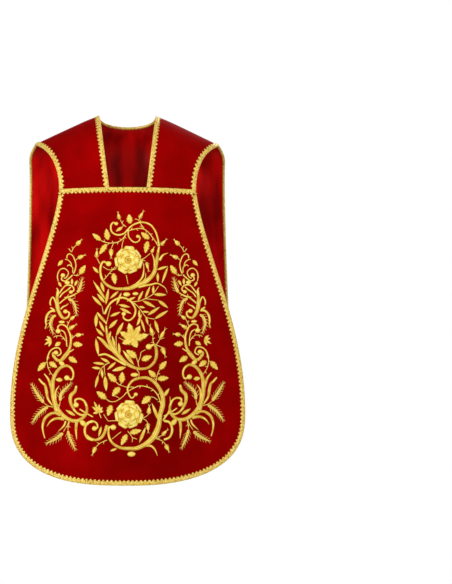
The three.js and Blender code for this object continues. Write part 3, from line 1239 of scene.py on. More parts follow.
class Needlework:
    """Stitched shapes drawn flat in millimetres, then laid on the cloth as one mesh."""

    UV = "stitches"
    TONE = "tone"
    STRAND = 7.0  # a wider run shows the strands that it is laid in, parted by thin runs of painted shade; in millimetres
    STRAND_LINES = (-0.36, 0.28)  # where those runs of painted shade lie, as shares of the half width
    THINNEST = 0.12  # half width of a run at a point
    FURROW_SHADE = (-0.1, -0.1)  # tones of painted shade in a furrow

    def __init__(self) -> None:
        """Start with nothing stitched."""
        self.points: list[Array] = []
        self.uvs: list[Array] = []
        self.tones: list[Array] = []
        self.faces: list[Array] = []
        self.caps: list[tuple] = []
        self.count = 0

    @staticmethod
    def unit(run: Array) -> Array:
        """Return a vector of length 1 that points the same way."""
        return run / max(np.linalg.norm(run), 1e-9)

    @staticmethod
    def smooth(points: Sequence[Pair], spacing: float = 2.2) -> Array:
        """Return a smooth line through points, evenly spaced.

        Args:
            points: what it passes through.
            spacing: the distance between its points.

        Returns:
            The line, one point in each row.
        """
        p = np.array(points, dtype=float)
        if len(p) == 2:
            run = np.linalg.norm(p[1] - p[0])
            t = np.linspace(0, 1, max(4, int(run / spacing)))[:, None]
            return p[0] * (1 - t) + p[1] * t
        ends = np.vstack([2 * p[0] - p[1], p, 2 * p[-1] - p[-2]])
        pieces = []
        for a, b, c, d in zip(ends, ends[1:], ends[2:], ends[3:]):
            t = np.linspace(0, 1, 8, endpoint=False)[:, None]
            pieces.append(0.5 * (2 * b + (c - a) * t + (2 * a - 5 * b + 4 * c - d) * t**2
                                 + (3 * b - a - 3 * c + d) * t**3))
        dense = np.vstack([*pieces, p[-1:]])
        run = np.linalg.norm(np.diff(dense, axis=0), axis=1).sum()
        return by_length(dense)(np.linspace(0, 1, max(5, int(run / spacing))))

    def ribbon(self, line: Array, half: Array, height: float, profile: Profile = Profile.ROUND,
               base: float = 0.0, tones: Pair = (0.5, 0.5)) -> None:
        """Stitch a run along a line.

        Args:
            line: points along its middle.
            half: half width at each point.
            height: how far it stands up at its crown.
            profile: its cross-section.
            base: how far its foot is above the cloth.
            tones: how light the run is at its start and end: painted light and shade, or a darker thread.
        """
        tangent = np.gradient(line, axis=0)
        tangent /= np.maximum(np.linalg.norm(tangent, axis=1, keepdims=True), 1e-9)
        normal = np.stack([-tangent[:, 1], tangent[:, 0]], axis=1)
        half = np.maximum(half, self.THINNEST)
        shape = np.array(profile.value)
        across = line[:, None] + normal[:, None] * (half[:, None] * shape[None, :, 0])[..., None]
        swell = np.clip(half / max(half.max(), 1e-6), 0.25, 1) ** 0.6
        lift = base + height * swell[:, None] * shape[None, :, 1] - 0.15 * (shape[None, :, 1] == 0)
        count, sides = lift.shape
        run = np.concatenate([[0], np.cumsum(np.linalg.norm(np.diff(line, axis=0), axis=1))])
        uv = np.stack(np.broadcast_arrays(run[:, None], shape[None, :, 0] * half[:, None]), axis=-1)
        # Painted shade: each run is darker along its sides and in its vein, and its lightness moves from
        # the start tone to the end tone.
        vein = 0.5 * (shape[:, 0] == 0) if profile is Profile.VEINED else 0
        edge = (0.42 * np.abs(shape[:, 0]) ** 2 + vein) * min(1.0, 0.2 + half.max() / 6)
        along = np.linspace(*tones, count) + 0.07 * np.sin(run / 5)
        self.tones.append((along[:, None] - edge[None, :]).ravel())
        number = self.count + np.arange(count * sides).reshape(count, sides)
        ahead = np.roll(number, -1, axis=1)
        quads = np.stack([number[:-1], ahead[:-1], ahead[1:], number[1:]], axis=-1).reshape(-1, 4)
        self.points.append(np.concatenate([across, lift[..., None]], axis=-1).reshape(-1, 3))
        self.uvs.append(uv.reshape(-1, 2))
        self.faces.append(quads)
        self.caps += [tuple(number[0, ::-1].tolist()), tuple(number[-1].tolist())]
        self.count += count * sides

    def stroke(self, points: Sequence[Pair], *widths: float, height: float = 1.3,
               ball: float = 0.0) -> None:
        """Stitch a line of changing width, with a ball at its end where one is given.

        Args:
            points: what it passes through.
            widths: its widths from start to end, evenly spaced.
            height: how far it stands up.
            ball: radius of the ball, or 0.
        """
        line = self.smooth(points)
        share = np.linspace(0, 1, len(line))
        half = np.interp(share, np.linspace(0, 1, len(widths)), widths) / 2
        self.ribbon(line, half, height)
        thick = half > 0.5 * self.STRAND
        if thick.sum() > 4:
            side = np.gradient(line, axis=0)[:, ::-1] * (-1, 1)
            side /= np.linalg.norm(side, axis=1, keepdims=True)
            # Thin runs of painted shade part the strands.
            for place in self.STRAND_LINES:
                strand = (line + side * (half * place)[:, None])[thick]
                self.ribbon(strand, np.full(len(strand), 0.55), 0.5, base=height * 0.82, tones=self.FURROW_SHADE)
        if ball:
            self.ball(points[-1], ball)

    def ball(self, centre: Pair, across: float, tall: float | None = None, turn: float = 0.0,
             height: float = 1.9, tones: Pair = (0.5, 0.5)) -> None:
        """Stitch a filled round or oval of the given half sizes.

        Args:
            centre: its middle.
            across: half its size along its own axis.
            tall: half its size the other way, or none for a circle.
            turn: angle of its axis.
            height: how far it stands up.
            tones: how light it is at its two ends: painted light and shade, or a darker thread.
        """
        tall = across if tall is None else tall
        t = np.linspace(-1, 1, 9)
        axis = np.array((math.cos(turn), math.sin(turn)))
        line = np.array(centre) + axis * (across * t)[:, None]
        self.ribbon(line, tall * np.sqrt(np.maximum(0, 1 - t * t)), height, tones=tones)

    def leaf(self, base: Pair, tip: Pair, half: float, bend: float = 0.0, teeth: int = 0,
             veined: bool = True, height: float = 1.2, lift: float = 0.0) -> None:
        """Stitch a leaf.

        Args:
            base: where it starts.
            tip: where it ends.
            half: half width at its widest.
            bend: how far its middle is off the straight line, to the left of base to tip.
            teeth: how many teeth on each side; 0 for a smooth edge.
            veined: whether a vein parts its two halves.
            height: how far it stands up.
            lift: how far its foot is above the cloth.
        """
        start, end = np.array(base, float), np.array(tip, float)
        run = end - start
        side = np.array((-run[1], run[0])) / max(np.linalg.norm(run), 1e-9)
        middle = (start + end) / 2 + side * bend
        samples = max(11, 6 * teeth + 1)
        t = np.linspace(0, 1, samples)[:, None]
        line = start * (1 - t) ** 2 + (2 * middle - (start + end) / 2) * 2 * t * (1 - t) + end * t**2
        t = t[:, 0]
        width = half * np.sin(math.pi * t ** (0.78 if teeth else 0.9)) ** (0.8 if teeth else 0.95)
        if teeth:
            width = width * (0.80 + 0.34 * np.mod(-t * teeth, 1.0))
        # Painted shade at the leaf's base, lighter towards its tip.
        self.ribbon(line, width, height, Profile.VEINED if veined else Profile.ROUND, lift, (0.30, 0.66))

    def bud(self, base: Pair, tip: Pair, half: float) -> None:
        """Stitch a rosebud with two sepals that part at its tip.

        Args:
            base: its foot.
            tip: where the sepals part.
            half: half its width.
        """
        start, end = np.array(base, float), np.array(tip, float)
        run = end - start
        side = np.array((-run[1], run[0]))
        neck = start + run * 0.78
        self.leaf(base, tuple(neck), half, veined=False, height=1.7)
        for hand in (-1, 1):
            flick = end + side * 0.10 * hand
            self.stroke([tuple(start + run * 0.60), tuple(neck), tuple(flick)], 2.6, 1.8, 0.8)
            sepal = start + run * 0.28 + side * 0.26 * hand
            self.stroke([tuple(start), tuple(start + run * 0.12 + side * 0.14 * hand), tuple(sepal)],
                        1.4, 1.6, 0.5)

    def stem(self, points: Sequence[Pair], width: float = 2.2, thorns: int = 0) -> None:
        """Stitch a thin stem, with thorns on alternate sides.

        Args:
            points: what it passes through.
            width: its width at its start.
            thorns: how many thorns.
        """
        self.stroke(points, width, width * 0.85, height=1.0)
        line = self.smooth(points, 1.5)
        for k in range(thorns):
            at = int((k + 0.7) / (thorns + 0.4) * (len(line) - 2))
            along = self.unit(line[at + 1] - line[at])
            out = np.array((-along[1], along[0])) * (1 if k % 2 else -1)
            self.stroke([tuple(line[at]), tuple(line[at] + 3.4 * along + 6.6 * out)], 3.0, 0.9, height=0.9)

    def wheat(self, points: Sequence[Pair], half: float = 3.6, awn: float = 10.5) -> None:
        """Stitch an ear of wheat from its foot to its tip: grains and awns.

        Args:
            points: what it passes through.
            half: half its width without awns.
            awn: length of an awn.
        """
        pitch, grain, fan = 3.4, 6.4, 0.45
        line = self.smooth(points, pitch)
        for k in range(len(line) - 1):
            along = self.unit(line[k + 1] - line[k])
            out = np.array((-along[1], along[0]))
            slim = 1 - 0.45 * (k / len(line)) ** 2
            for hand in (-1, 1):
                foot = line[k] + out * hand * 0.4
                end = line[k] + along * grain + out * hand * half * slim
                self.leaf(tuple(foot), tuple(end), 1.9 * slim, bend=-0.5 * hand, veined=False, height=1.6)
                if (k + (hand > 0)) % 2:
                    spike = end + (along * 0.72 + out * hand * 0.62) * awn * slim
                    self.stroke([tuple(end), tuple(spike)], 1.4, 0.8, height=0.7)
        last = self.unit(line[-1] - line[-2])
        self.leaf(tuple(line[-1]), tuple(line[-1] + last * 7), 2.0, veined=False, height=1.6)
        root = line[-1] + last * 5
        for turn in (-fan, 0.0, fan):
            cos, sin = math.cos(turn), math.sin(turn)
            way = np.array((last[0] * cos - last[1] * sin, last[0] * sin + last[1] * cos))
            self.stroke([tuple(root), tuple(root + way * awn)], 1.4, 0.8, height=0.7)

    def rose(self, centre: Pair, radius: float) -> None:
        """Stitch an open rose: rings of petals round a folded heart, with painted shade towards the heart,
        in its spiral and in thin dark lines between petals.

        Args:
            centre: its middle.
            radius: its radius.
        """
        middle = np.array(centre, float)
        ring_shapes = ((7, 0.25, 1.00, 0.46, 0.9, 0.0, 0.3), (6, 0.08, 0.76, 0.36, 1.0, 0.8, 0.0),
                       (5, 0.0, 0.50, 0.28, 1.0, 1.5, 0.55))
        # Each petal is painted darker at the heart and lighter at its rim.
        for petals, near, far, half, height, lift, phase in ring_shapes:
            for k in range(petals):
                angle = 2 * math.pi * k / petals + phase
                wobble = 1 + 0.05 * math.sin(3 * angle + phase)
                way = np.array((math.cos(angle), math.sin(angle)))
                share = np.linspace(0, 1, 10)
                width = radius * half * np.sqrt(np.maximum(0, 1 - (2 * share - 1.15) ** 2 / 1.33))
                reach = radius * np.linspace(near, far * wobble, 10)
                self.ribbon(middle + way * reach[:, None], width, height, base=lift, tones=(0.18, 0.78))
        # The spiral of the heart is a dark run of painted shade.
        spin = np.linspace(0, 3.6 * math.pi, 30)
        reach = radius * (0.03 + 0.27 * spin / spin[-1])
        spiral = middle + np.stack([np.cos(spin), np.sin(spin)], axis=1) * reach[:, None]
        self.ribbon(spiral, np.full(len(spin), radius * 0.045), 1.2, base=2.1, tones=(-0.1, 0.1))
        # Thin dark runs of painted shade lie between the petals.
        shade_furrows = 9
        for k in range(shade_furrows):
            arc = 2 * math.pi * k / shade_furrows + 0.2 + np.linspace(-0.36, 0.36, 8)
            reach, base = (0.56, 1.5) if k % 2 else (0.80, 0.9)
            line = middle + np.stack([np.cos(arc), np.sin(arc)], axis=1) * radius * reach
            self.ribbon(line, np.full(len(arc), radius * 0.03), 0.8, base=base, tones=self.FURROW_SHADE)

    def lay(self, name: str, placement: Placement, height: float = 0.0) -> Piece:
        """Lay everything stitched on the cloth and return it as one object.

        Args:
            name: the object's name.
            placement: where it lies.
            height: how far it is raised, in metres.

        Returns:
            The object.
        """
        flat = np.vstack(self.points)
        x, z = placement.spot(flat[:, :2])
        points = placement.side.raise_to(x, z, LAYERS.face + height + flat[:, 2] * MM)
        faces = np.vstack(self.faces).tolist() + self.caps
        if placement.mirrored:
            faces = [tuple(reversed(f)) for f in faces]
        return make_mesh(name, points, faces, np.vstack(self.uvs), np.concatenate(self.tones))

    def leaves(self, half: float, *ends: tuple, **style: object) -> None:
        """Stitch several leaves of one width, each from a base to a tip."""
        for base, tip in ends:
            self.leaf(base, tip, half, **style)

    def vine_leaf(self, centre: Pair, tips: Sequence[Pair], half: float) -> None:
        """Stitch a lobed leaf, each lobe running from the centre to a tip.

        Args:
            centre: its middle.
            tips: where its lobes end.
            half: half the width of a lobe.
        """
        self.ball(centre, half * 1.2, height=1.2)
        for tip in tips:
            self.leaf(centre, tip, half, teeth=3, height=1.5, lift=0.3)


class Column(Needlework):
    """The tall design of roses and scrolls; across from the centre, down from its top."""

    def draw(self) -> "Column":
        """Stitch the whole column.

        Returns:
            The work itself.
        """
        self.crown()
        self.first_rose()
        self.upper_scrolls()
        self.left_cluster()
        self.middle_scroll()
        self.vine()
        self.lower_leaves()
        self.second_rose()
        self.foot()
        return self

    def crown(self) -> None:
        """Stitch the arc, curl and buds at the top."""
        self.stroke([(86, 104), (79, 73), (71, 56), (60, 44), (41, 38), (24, 41), (10, 48), (-1, 59),
                     (-11, 69), (-26, 73), (-39, 69), (-46, 60), (-46, 46), (-40, 39), (-32, 42)],
                    5, 5, 5, ball=5.3)
        self.stroke([(1, 56), (1, 73), (6, 84), (17, 93), (29, 90), (33, 80), (27, 77)], 4, 4, ball=5.2)
        self.stem([(1, 62), (13, 58), (31, 55), (44, 57), (55, 65), (65, 77), (75, 91), (83, 104)], 3, 7)
        self.stem([(44, 55), (37, 45), (30, 34), (32, 27)], 2.4, 2)
        self.bud((31, 27), (44, 5), 4.2)
        self.stem([(19, 29), (29, 31)])
        self.stem([(-5, 51), (-15, 42), (-21, 31)], 2.4, 2)
        self.bud((-23, 30), (-28, 8), 4.6)
        self.leaf((6, 42), (3, 16), 9.8, teeth=4)
        self.leaf((-14, 51), (-33, 63), 5)
        self.leaf((58, 84), (36, 66), 9, teeth=4)
        self.leaf((54, 90), (47, 123), 9, teeth=4)

    def first_rose(self) -> None:
        """Stitch the upper rose with the branch on its left."""
        self.stem([(-5, 70), (-12, 81), (-26, 92), (-40, 95), (-54, 95), (-68, 91), (-74, 88)], 3, 6)
        self.leaf((-74, 88), (-97, 69), 7.7, teeth=4)
        self.leaf((-55, 87), (-59, 56), 9.5, teeth=4)
        self.leaf((-58, 98), (-78, 126), 8.7, teeth=4)
        self.stem([(-40, 97), (-46, 111)])
        self.bud((-46, 111), (-46, 139), 6.3)
        self.stem([(-77, 152), (-82, 142), (-86, 135)])
        self.bud((-86, 135), (-84, 109), 4.4)
        self.stem([(-17, 110), (-15, 96), (-10, 80)])
        self.rose((1, 142.5), 37)
        self.stem([(-5, 183), (0, 208)])
        self.stroke([(-30, 162), (-38, 168), (-55, 168), (-68, 160)], 2, 2)
        self.leaf((-40, 178), (-35, 208), 9, teeth=4)
        self.stem([(-66, 196), (-58, 187), (-50, 177), (-34, 160)], 2.4, 3)

    def upper_scrolls(self) -> None:
        """Stitch the deep scroll that carries the upper rose, and its blades."""
        self.stroke([(-15, 221), (-35, 220), (-53, 213), (-67, 200), (-74, 184), (-75, 163), (-68, 147),
                     (-53, 152)], 8, 7, 6, ball=7.7)
        self.stroke([(-15, 221), (5, 219), (24, 211), (45, 203), (62, 189), (72, 174), (76, 157), (79, 140),
                     (82, 121), (85, 105)], 8, 13, 14, 12, 11, 9, 5, height=2.2)
        self.stroke([(17, 212), (38, 191), (43, 167), (41, 149)], 5, 6, 1)
        self.stroke([(25, 212), (39, 202), (47, 191), (48, 177)], 4, 4, 1)
        self.stroke([(73, 168), (71, 140), (65, 123)], 6, 5, 2)
        self.stem([(38, 140), (47, 135), (61, 123)])
        self.bud((64, 122), (72, 105), 4.2)
        self.stem([(38, 140), (47, 145)])
        self.bud((50, 148), (57, 175), 4.2)
        self.stroke([(86, 143), (95, 129), (110, 122)], 8, 6, 1)
        self.bud((90, 101), (107, 83), 4.2)
        self.leaves(4, ((78, 169), (109, 159)), ((109, 160), (92, 206)), ((81, 177), (81, 203)))
        self.stroke([(28, 216), (46, 212), (64, 209), (79, 206), (92, 212), (102, 220), (107, 233)],
                    7, 5, 1)
        self.stem([(5, 257), (31, 254), (46, 248), (67, 236), (83, 214)], 2.4)
        self.leaves(4, ((26, 255), (41, 226)), ((46, 247), (60, 214)), ((68, 236), (69, 212)))
        self.leaves(5.2, ((69, 236), (104, 238)), ((39, 253), (74, 272)), ((81, 252), (109, 274)))
        self.stem([(47, 248), (81, 252)])
        self.stem([(15, 258), (30, 273), (39, 286), (50, 299), (71, 304)], 2.4)
        self.leaves(3.4, ((29, 269), (46, 273)), ((37, 283), (59, 285)), ((30, 278), (30, 303)),
                    ((37, 289), (24, 318)), ((35, 303), (46, 340)), ((34, 303), (23, 321)),
                    ((48, 296), (54, 319)))
        self.leaves(5, ((53, 293), (86, 271)), ((71, 304), (109, 281)), ((72, 306), (83, 343)))
        self.ball((-4, 236), 9.8, 6.5)
        self.ball((20, 234), 8, 5)

    def left_cluster(self) -> None:
        """Stitch the reversed scroll with its spray of narrow leaves."""
        self.stroke([(-64, 290), (-56, 272), (-46, 258), (-32, 249), (-15, 245), (2, 251), (13, 262),
                     (20, 278), (16, 296), (2, 307), (-12, 301), (-12, 289)], 6, 6, 5, ball=6)
        self.leaves(4, ((-4, 255), (20, 243)), ((-32, 265), (-18, 231)), ((-26, 227), (-50, 248)))
        self.leaves(4.8, ((-61, 251), (-95, 199)), ((-61, 264), (-53, 220)), ((-63, 259), (-84, 234)),
                    ((-71, 268), (-98, 240)), ((-74, 202), (-65, 230)), ((-80, 178), (-96, 160)))
        self.stem([(-67, 289), (-71, 268)])
        self.stem([(-60, 318), (-53, 290), (-47, 269)])
        self.leaves(4.5, ((-49, 296), (-21, 284)), ((-23, 273), (9, 289)), ((-26, 264), (5, 271)))
        self.leaf((-86, 289), (-88, 326), 6)
        self.stroke([(-84, 286), (-70, 303), (-58, 317)], 5, 9, 3)
        self.leaf((-88, 356), (-81, 402), 5.5)
        self.stroke([(-84, 352), (-71, 361), (-56, 378), (-42, 392)], 4, 10, 10, 4)

    def middle_scroll(self) -> None:
        """Stitch the scroll under the vine leaf."""
        self.stroke([(-60, 321), (-57, 345), (-50, 366), (-39, 387), (-23, 406), (-6, 423), (13, 434),
                     (33, 439), (53, 436), (69, 423), (76, 406), (76, 387), (71, 374), (56, 379)],
                    4, 10, 16, 12, 9, 7, 8, 9, 6, height=2.0, ball=8.5)
        self.stroke([(-81, 402), (-63, 399), (-46, 406), (-29, 416), (-6, 429)], 5, 7, 6)
        self.leaves(4.4, ((-56, 364), (-47, 336)), ((-35, 381), (-44, 349)), ((-23, 399), (-26, 368)),
                    ((-67, 350), (-88, 328)), ((-64, 339), (-79, 308)))
        self.leaves(5.6, ((-53, 329), (-29, 305)), ((-33, 349), (-13, 312)), ((16, 429), (-15, 388)))
        self.stem([(-33, 349), (-32, 388)])

    def vine(self) -> None:
        """Stitch the vine leaf with the buds beside it."""
        self.vine_leaf((12, 359), [(2, 314), (32, 322), (55, 346), (24, 381), (-16, 370), (-22, 338)], 12)
        self.stem([(12, 359), (-8, 362), (-25, 354)])
        self.leaf((22, 408), (-5, 388), 11, teeth=4)
        self.leaf((36, 415), (64, 405), 9.5, teeth=4)
        self.stem([(29, 434), (27, 422), (33, 404), (35, 394), (47, 387)])
        self.stem([(22, 408), (27, 424)])
        self.stem([(71, 374), (67, 361), (67, 349)], 2.2, 2)
        self.bud((67, 349), (58, 317), 5.5)
        self.bud((86, 359), (103, 327), 5.2)
        self.stem([(76, 374), (86, 379), (92, 381)])
        self.bud((92, 381), (102, 410), 6)
        self.stem([(76, 374), (86, 359)])
        self.leaves(9, ((85, 441), (104, 419)), ((74, 462), (55, 443)), ((79, 467), (109, 465)), teeth=4)
        self.ball((17, 455), 11, 6)
        self.stem([(75, 480), (76, 466), (80, 452), (85, 441)], 2.4, 2)
        self.stem([(22, 439), (29, 450), (28, 463)])
        self.stem([(-18, 477), (-24, 482), (-33, 474)])
        self.stem([(-44, 511), (-33, 513), (-24, 519)])

    def lower_leaves(self) -> None:
        """Stitch the willow leaves and rounded leaves on the lower left."""
        self.stem([(-50, 422), (-61, 427), (-74, 439), (-81, 455)], 2.4)
        self.stem([(-66, 430), (-63, 457)])
        self.leaves(4.4, ((-50, 422), (-75, 409)), ((-63, 426), (-96, 422)), ((-74, 438), (-99, 435)),
                    ((-33, 420), (-57, 441)), ((-72, 439), (-70, 464)), ((-81, 455), (-90, 490)))
        self.leaves(6.6, ((-6, 434), (-44, 444)), ((-63, 457), (-60, 499)))
        self.leaves(10, ((-33, 474), (-56, 450)), ((-18, 477), (-16, 447)), ((-23, 489), (-44, 511)),
                    ((-60, 520), (-86, 500)), ((-46, 537), (-56, 566)), teeth=4)
        self.stem([(-33, 475), (-26, 481), (-15, 485), (-4, 488), (15, 488)])
        self.stem([(-60, 520), (-50, 527), (-36, 527), (-23, 520), (-12, 511), (-4, 502)], 2.6)
        for tip in ((-98, 541), (-93, 527), (-79, 534), (-70, 542), (-96, 559), (-68, 553)):
            self.leaf((-80, 556), tip, 4)
        self.stem([(-74, 572), (-80, 556)], 3)

    def second_rose(self) -> None:
        """Stitch the lower rose inside its thick scroll."""
        self.stroke([(85, 575), (80, 599), (66, 626), (45, 643), (23, 653), (1, 654), (-21, 652),
                     (-39, 643), (-50, 629), (-54, 613), (-52, 597), (-41, 597)],
                    12, 16, 17, 14, 12, 10, 8, 7, 6.5, 6.5, height=2.3, ball=8)
        self.stroke([(85, 577), (86, 563), (93, 538), (93, 516), (86, 497), (74, 479), (57, 466), (39, 463),
                     (17, 468), (5, 478), (-2, 493), (2, 509), (10, 518), (20, 508)],
                    12, 14, 12, 10, 8, 7, 5, 4, height=2.0, ball=5.5)
        self.stem([(90, 541), (81, 514), (67, 496), (50, 488), (31, 485), (17, 490), (5, 496), (-5, 503),
                   (-12, 511)], 3.2, 7)
        self.stem([(79, 524), (69, 517), (60, 515)])
        self.leaf((60, 515), (36, 533), 11, teeth=4)
        self.stem([(34, 573), (46, 569), (55, 562)])
        self.bud((55, 562), (57, 535), 5.5)
        self.stem([(38, 573), (48, 579), (52, 586)])
        self.bud((52, 586), (54, 614), 5.2)
        self.rose((1, 563), 37)

    def foot(self) -> None:
        """Stitch the strands, leaves and buds at the bottom."""
        self.stroke([(-58, 591), (-64, 610), (-73, 624), (-89, 631), (-105, 626), (-113, 618)], 9, 8, 6)
        self.stroke([(-113, 591), (-100, 580), (-86, 586), (-84, 598), (-92, 600)], 5, 5, ball=7)
        self.leaf((-73, 594), (-81, 623), 4)
        self.stem([(-32, 579), (-45, 579), (-55, 579), (-67, 562)])
        self.leaves(9, ((-4, 616), (-20, 645)), ((4, 612), (35, 605)), teeth=4)
        self.stem([(-2, 607), (10, 624), (10, 637)])
        self.stem([(10, 624), (23, 629)])
        self.stem([(-20, 609), (-45, 629)])
        self.leaves(5, ((29, 639), (47, 596)), ((84, 584), (63, 531)), ((96, 516), (111, 493)))
        self.stroke([(93, 580), (109, 558), (114, 541), (113, 516)], 4, 6, 1)
        self.stroke([(45, 646), (61, 648), (72, 659), (78, 675)], 8, 6, 1)
        self.leaf((-31, 654), (-50, 661), 3.5)
        self.ball((8, 669), 11.4, 7.6)
        self.stem([(-58, 631), (-77, 640), (-88, 650)], 2.4, 2)
        self.bud((-89, 650), (-99, 674), 5.5)
        self.stem([(72, 627), (91, 635), (100, 645)], 2.4, 2)
        self.bud((100, 645), (111, 668), 5.8)
        self.stem([(72, 627), (91, 620)])
        self.bud((91, 620), (108, 603), 4.8)


class Spray(Needlework):
    """The side design of scrolls and wheat; across from the centre, down from its own top."""

    top = 346.5

    def spot(self, points: Sequence[Pair]) -> list[Pair]:
        """Return points measured down from the neck as points down from the top."""
        return [(x, drop - self.top) for x, drop in points]

    def line(self, points: Sequence[Pair], *widths: float, ball: float = 0.0, height: float = 1.4) -> None:
        """Stitch a line measured down from the neck."""
        self.stroke(self.spot(points), *widths, ball=ball, height=height)

    def twig(self, *points: Pair) -> None:
        """Stitch a thin stem measured down from the neck."""
        self.stem(self.spot(points), 2.3, max(0, len(points) - 2))

    def blade(self, half: float, *ends: tuple, **style: object) -> None:
        """Stitch leaves measured down from the neck."""
        for base, tip in ends:
            self.leaf(*self.spot([base, tip]), half, **style)

    def flower(self, base: Pair, tip: Pair, half: float) -> None:
        """Stitch a bud measured down from the neck."""
        self.bud(*self.spot([base, tip]), half)

    def ear(self, points: Sequence[Pair], half: float) -> None:
        """Stitch an ear of wheat measured down from the neck."""
        self.wheat(self.spot(points), half)

    def draw(self) -> "Spray":
        """Stitch the whole spray.

        Returns:
            The work itself.
        """
        self.tip()
        self.trunk()
        self.scroll()
        self.belly()
        self.base()
        return self

    def tip(self) -> None:
        """Stitch the buds and small spirals at the top."""
        self.twig((-154, 384), (-149, 373), (-141, 365))
        self.flower((-141, 365), (-125, 348), 6.3)
        self.twig((-162, 374), (-155, 384))
        self.twig((-143, 407), (-137, 401))
        self.flower((-137, 401), (-115, 391), 5.7)
        self.line([(-154, 423), (-156, 414), (-164, 406), (-172, 404)], 3, 3)
        self.blade(5.7, ((-178, 406), (-192, 422)))
        self.line([(-167, 402), (-166, 393), (-160, 389), (-151, 394), (-145, 407), (-142, 420),
                   (-145, 435), (-149, 444)], 3.4, 3.8)
        self.line([(-166, 423), (-161, 419), (-155, 423), (-151, 428), (-151, 441)], 3, 3)
        self.line([(-151, 447), (-163, 458), (-173, 464), (-182, 459), (-178, 448)], 4, 4, ball=6.4)
        self.line([(-175, 456), (-170, 455), (-164, 447), (-163, 439), (-170, 431), (-178, 429),
                   (-186, 433), (-191, 441), (-193, 452), (-191, 464)], 3.4, 3.4)
        self.blade(4, ((-191, 465), (-182, 480)), ((-138, 461), (-146, 477)), ((-153, 456), (-153, 475)))
        self.blade(9, ((-132, 445), (-116, 420)), teeth=4)
        self.twig((-149, 447), (-138, 449), (-132, 445))
        self.ball(self.spot([(-166, 468)])[0], 7.5, 6)
        self.ear([(-138, 496), (-131, 482), (-127, 467)], 4)
        self.twig((-174, 509), (-158, 505), (-147, 500), (-138, 496))

    def trunk(self) -> None:
        """Stitch the loop and the trunk with its hooks."""
        self.line([(-188, 498), (-179, 485), (-170, 476), (-159, 475), (-150, 480), (-148, 489),
                   (-156, 494)], 4, 5, ball=5.5)
        self.line([(-187, 509), (-179, 498), (-165, 488), (-156, 480)], 4, 4)
        self.line([(-195, 483), (-191, 492), (-192, 509)], 3, 6, 4)
        self.line([(-193, 490), (-194, 514), (-193, 533), (-189, 548), (-181, 562), (-173, 566),
                   (-163, 561), (-161, 550), (-171, 547)], 4, 10, 12, 9, 6, 5, height=2.0, ball=6.4)
        self.line([(-212, 531), (-213, 520), (-206, 508), (-199, 519), (-195, 536)], 4, 5)
        self.line([(-188, 526), (-179, 518), (-168, 510), (-156, 506), (-140, 497)], 4, 4)
        self.ear([(-164, 512), (-152, 518), (-145, 530), (-142, 545)], 3.4)
        self.line([(-184, 541), (-177, 534), (-168, 530), (-163, 525)], 5, 4, 2)
        self.line([(-212, 537), (-201, 544)], 5, 5)
        self.line([(-199, 546), (-211, 547), (-221, 557), (-225, 573), (-224, 585), (-227, 595)], 6, 7, 3)
        self.ear([(-197, 557), (-208, 566), (-213, 583), (-208, 598)], 3.4)
        self.ball(self.spot([(-181, 576)])[0], 8.5, 4.5)

    def scroll(self) -> None:
        """Stitch the middle scroll, its buds and leaves."""
        self.line([(-182, 680), (-172, 666), (-162, 653), (-157, 637), (-156, 618), (-161, 602),
                   (-168, 589), (-180, 583), (-191, 588), (-191, 601)], 9, 8, 6, 5, 4, height=1.8, ball=7.2)
        self.line([(-183, 598), (-174, 604), (-169, 618), (-167, 643)], 3.5, 3.5)
        self.twig((-166, 588), (-161, 575), (-157, 569))
        self.flower((-157, 569), (-141, 556), 4.8)
        self.flower((-161, 595), (-139, 581), 5)
        self.twig((-154, 622), (-146, 614), (-143, 612))
        self.flower((-143, 612), (-121, 609), 6)
        self.blade(9, ((-150, 636), (-124, 638)), teeth=4)
        self.twig((-170, 628), (-177, 618), (-186, 614), (-196, 614), (-204, 618))
        self.blade(4, *(((-209, 626), tip) for tip in ((-229, 639), (-227, 624), (-222, 615), (-217, 644))))
        self.blade(6.5, ((-184, 631), (-200, 642)))
        self.line([(-191, 680), (-204, 671), (-205, 661), (-197, 660)], 5, 5, ball=6.6)
        self.line([(-194, 668), (-186, 665), (-183, 658), (-188, 648), (-199, 647), (-210, 653),
                   (-217, 664), (-221, 681)], 4, 4.4)
        self.line([(-162, 659), (-148, 650)], 4, 3)
        self.line([(-204, 667), (-194, 680), (-182, 680), (-171, 670), (-162, 660)], 8, 9, 6)
        self.twig((-216, 660), (-221, 674), (-221, 686), (-219, 699), (-213, 712), (-203, 725))
        self.blade(9, ((-226, 687), (-247, 711)), ((-215, 686), (-194, 700)), ((-162, 672), (-139, 686)),
                   teeth=4)
        self.ball(self.spot([(-181, 689)])[0], 9, 6.5, 0.6)

    def belly(self) -> None:
        """Stitch the big scroll and the ears round it."""
        self.line([(-193, 820), (-199, 799), (-203, 782), (-206, 764), (-206, 747), (-203, 729),
                   (-194, 711), (-182, 699), (-167, 695), (-154, 703), (-149, 718), (-154, 732),
                   (-167, 728)], 15, 14, 12, 10, 8, 6, 5, height=2.2, ball=7.5)
        self.line([(-229, 718), (-218, 732), (-211, 750), (-206, 776)], 3, 9, 5)
        self.blade(6.4, ((-178, 734), (-198, 733)))
        self.line([(-244, 732), (-235, 742), (-227, 749), (-223, 764), (-219, 785), (-206, 804)], 5, 9, 4)
        self.line([(-188, 750), (-196, 762), (-198, 776), (-197, 799)], 2, 6, 4)
        self.twig((-204, 808), (-218, 805), (-230, 797))
        self.ear([(-230, 797), (-245, 778), (-258, 757)], 4.4)
        self.twig((-192, 815), (-187, 803), (-185, 791))
        self.ear([(-185, 791), (-182, 770), (-163, 750)], 4)
        self.ear([(-218, 807), (-234, 818), (-247, 830), (-256, 843)], 4)
        self.ear([(-177, 877), (-195, 892), (-213, 902)], 4.4)
        self.ear([(-164, 871), (-159, 890), (-149, 911)], 3.8)

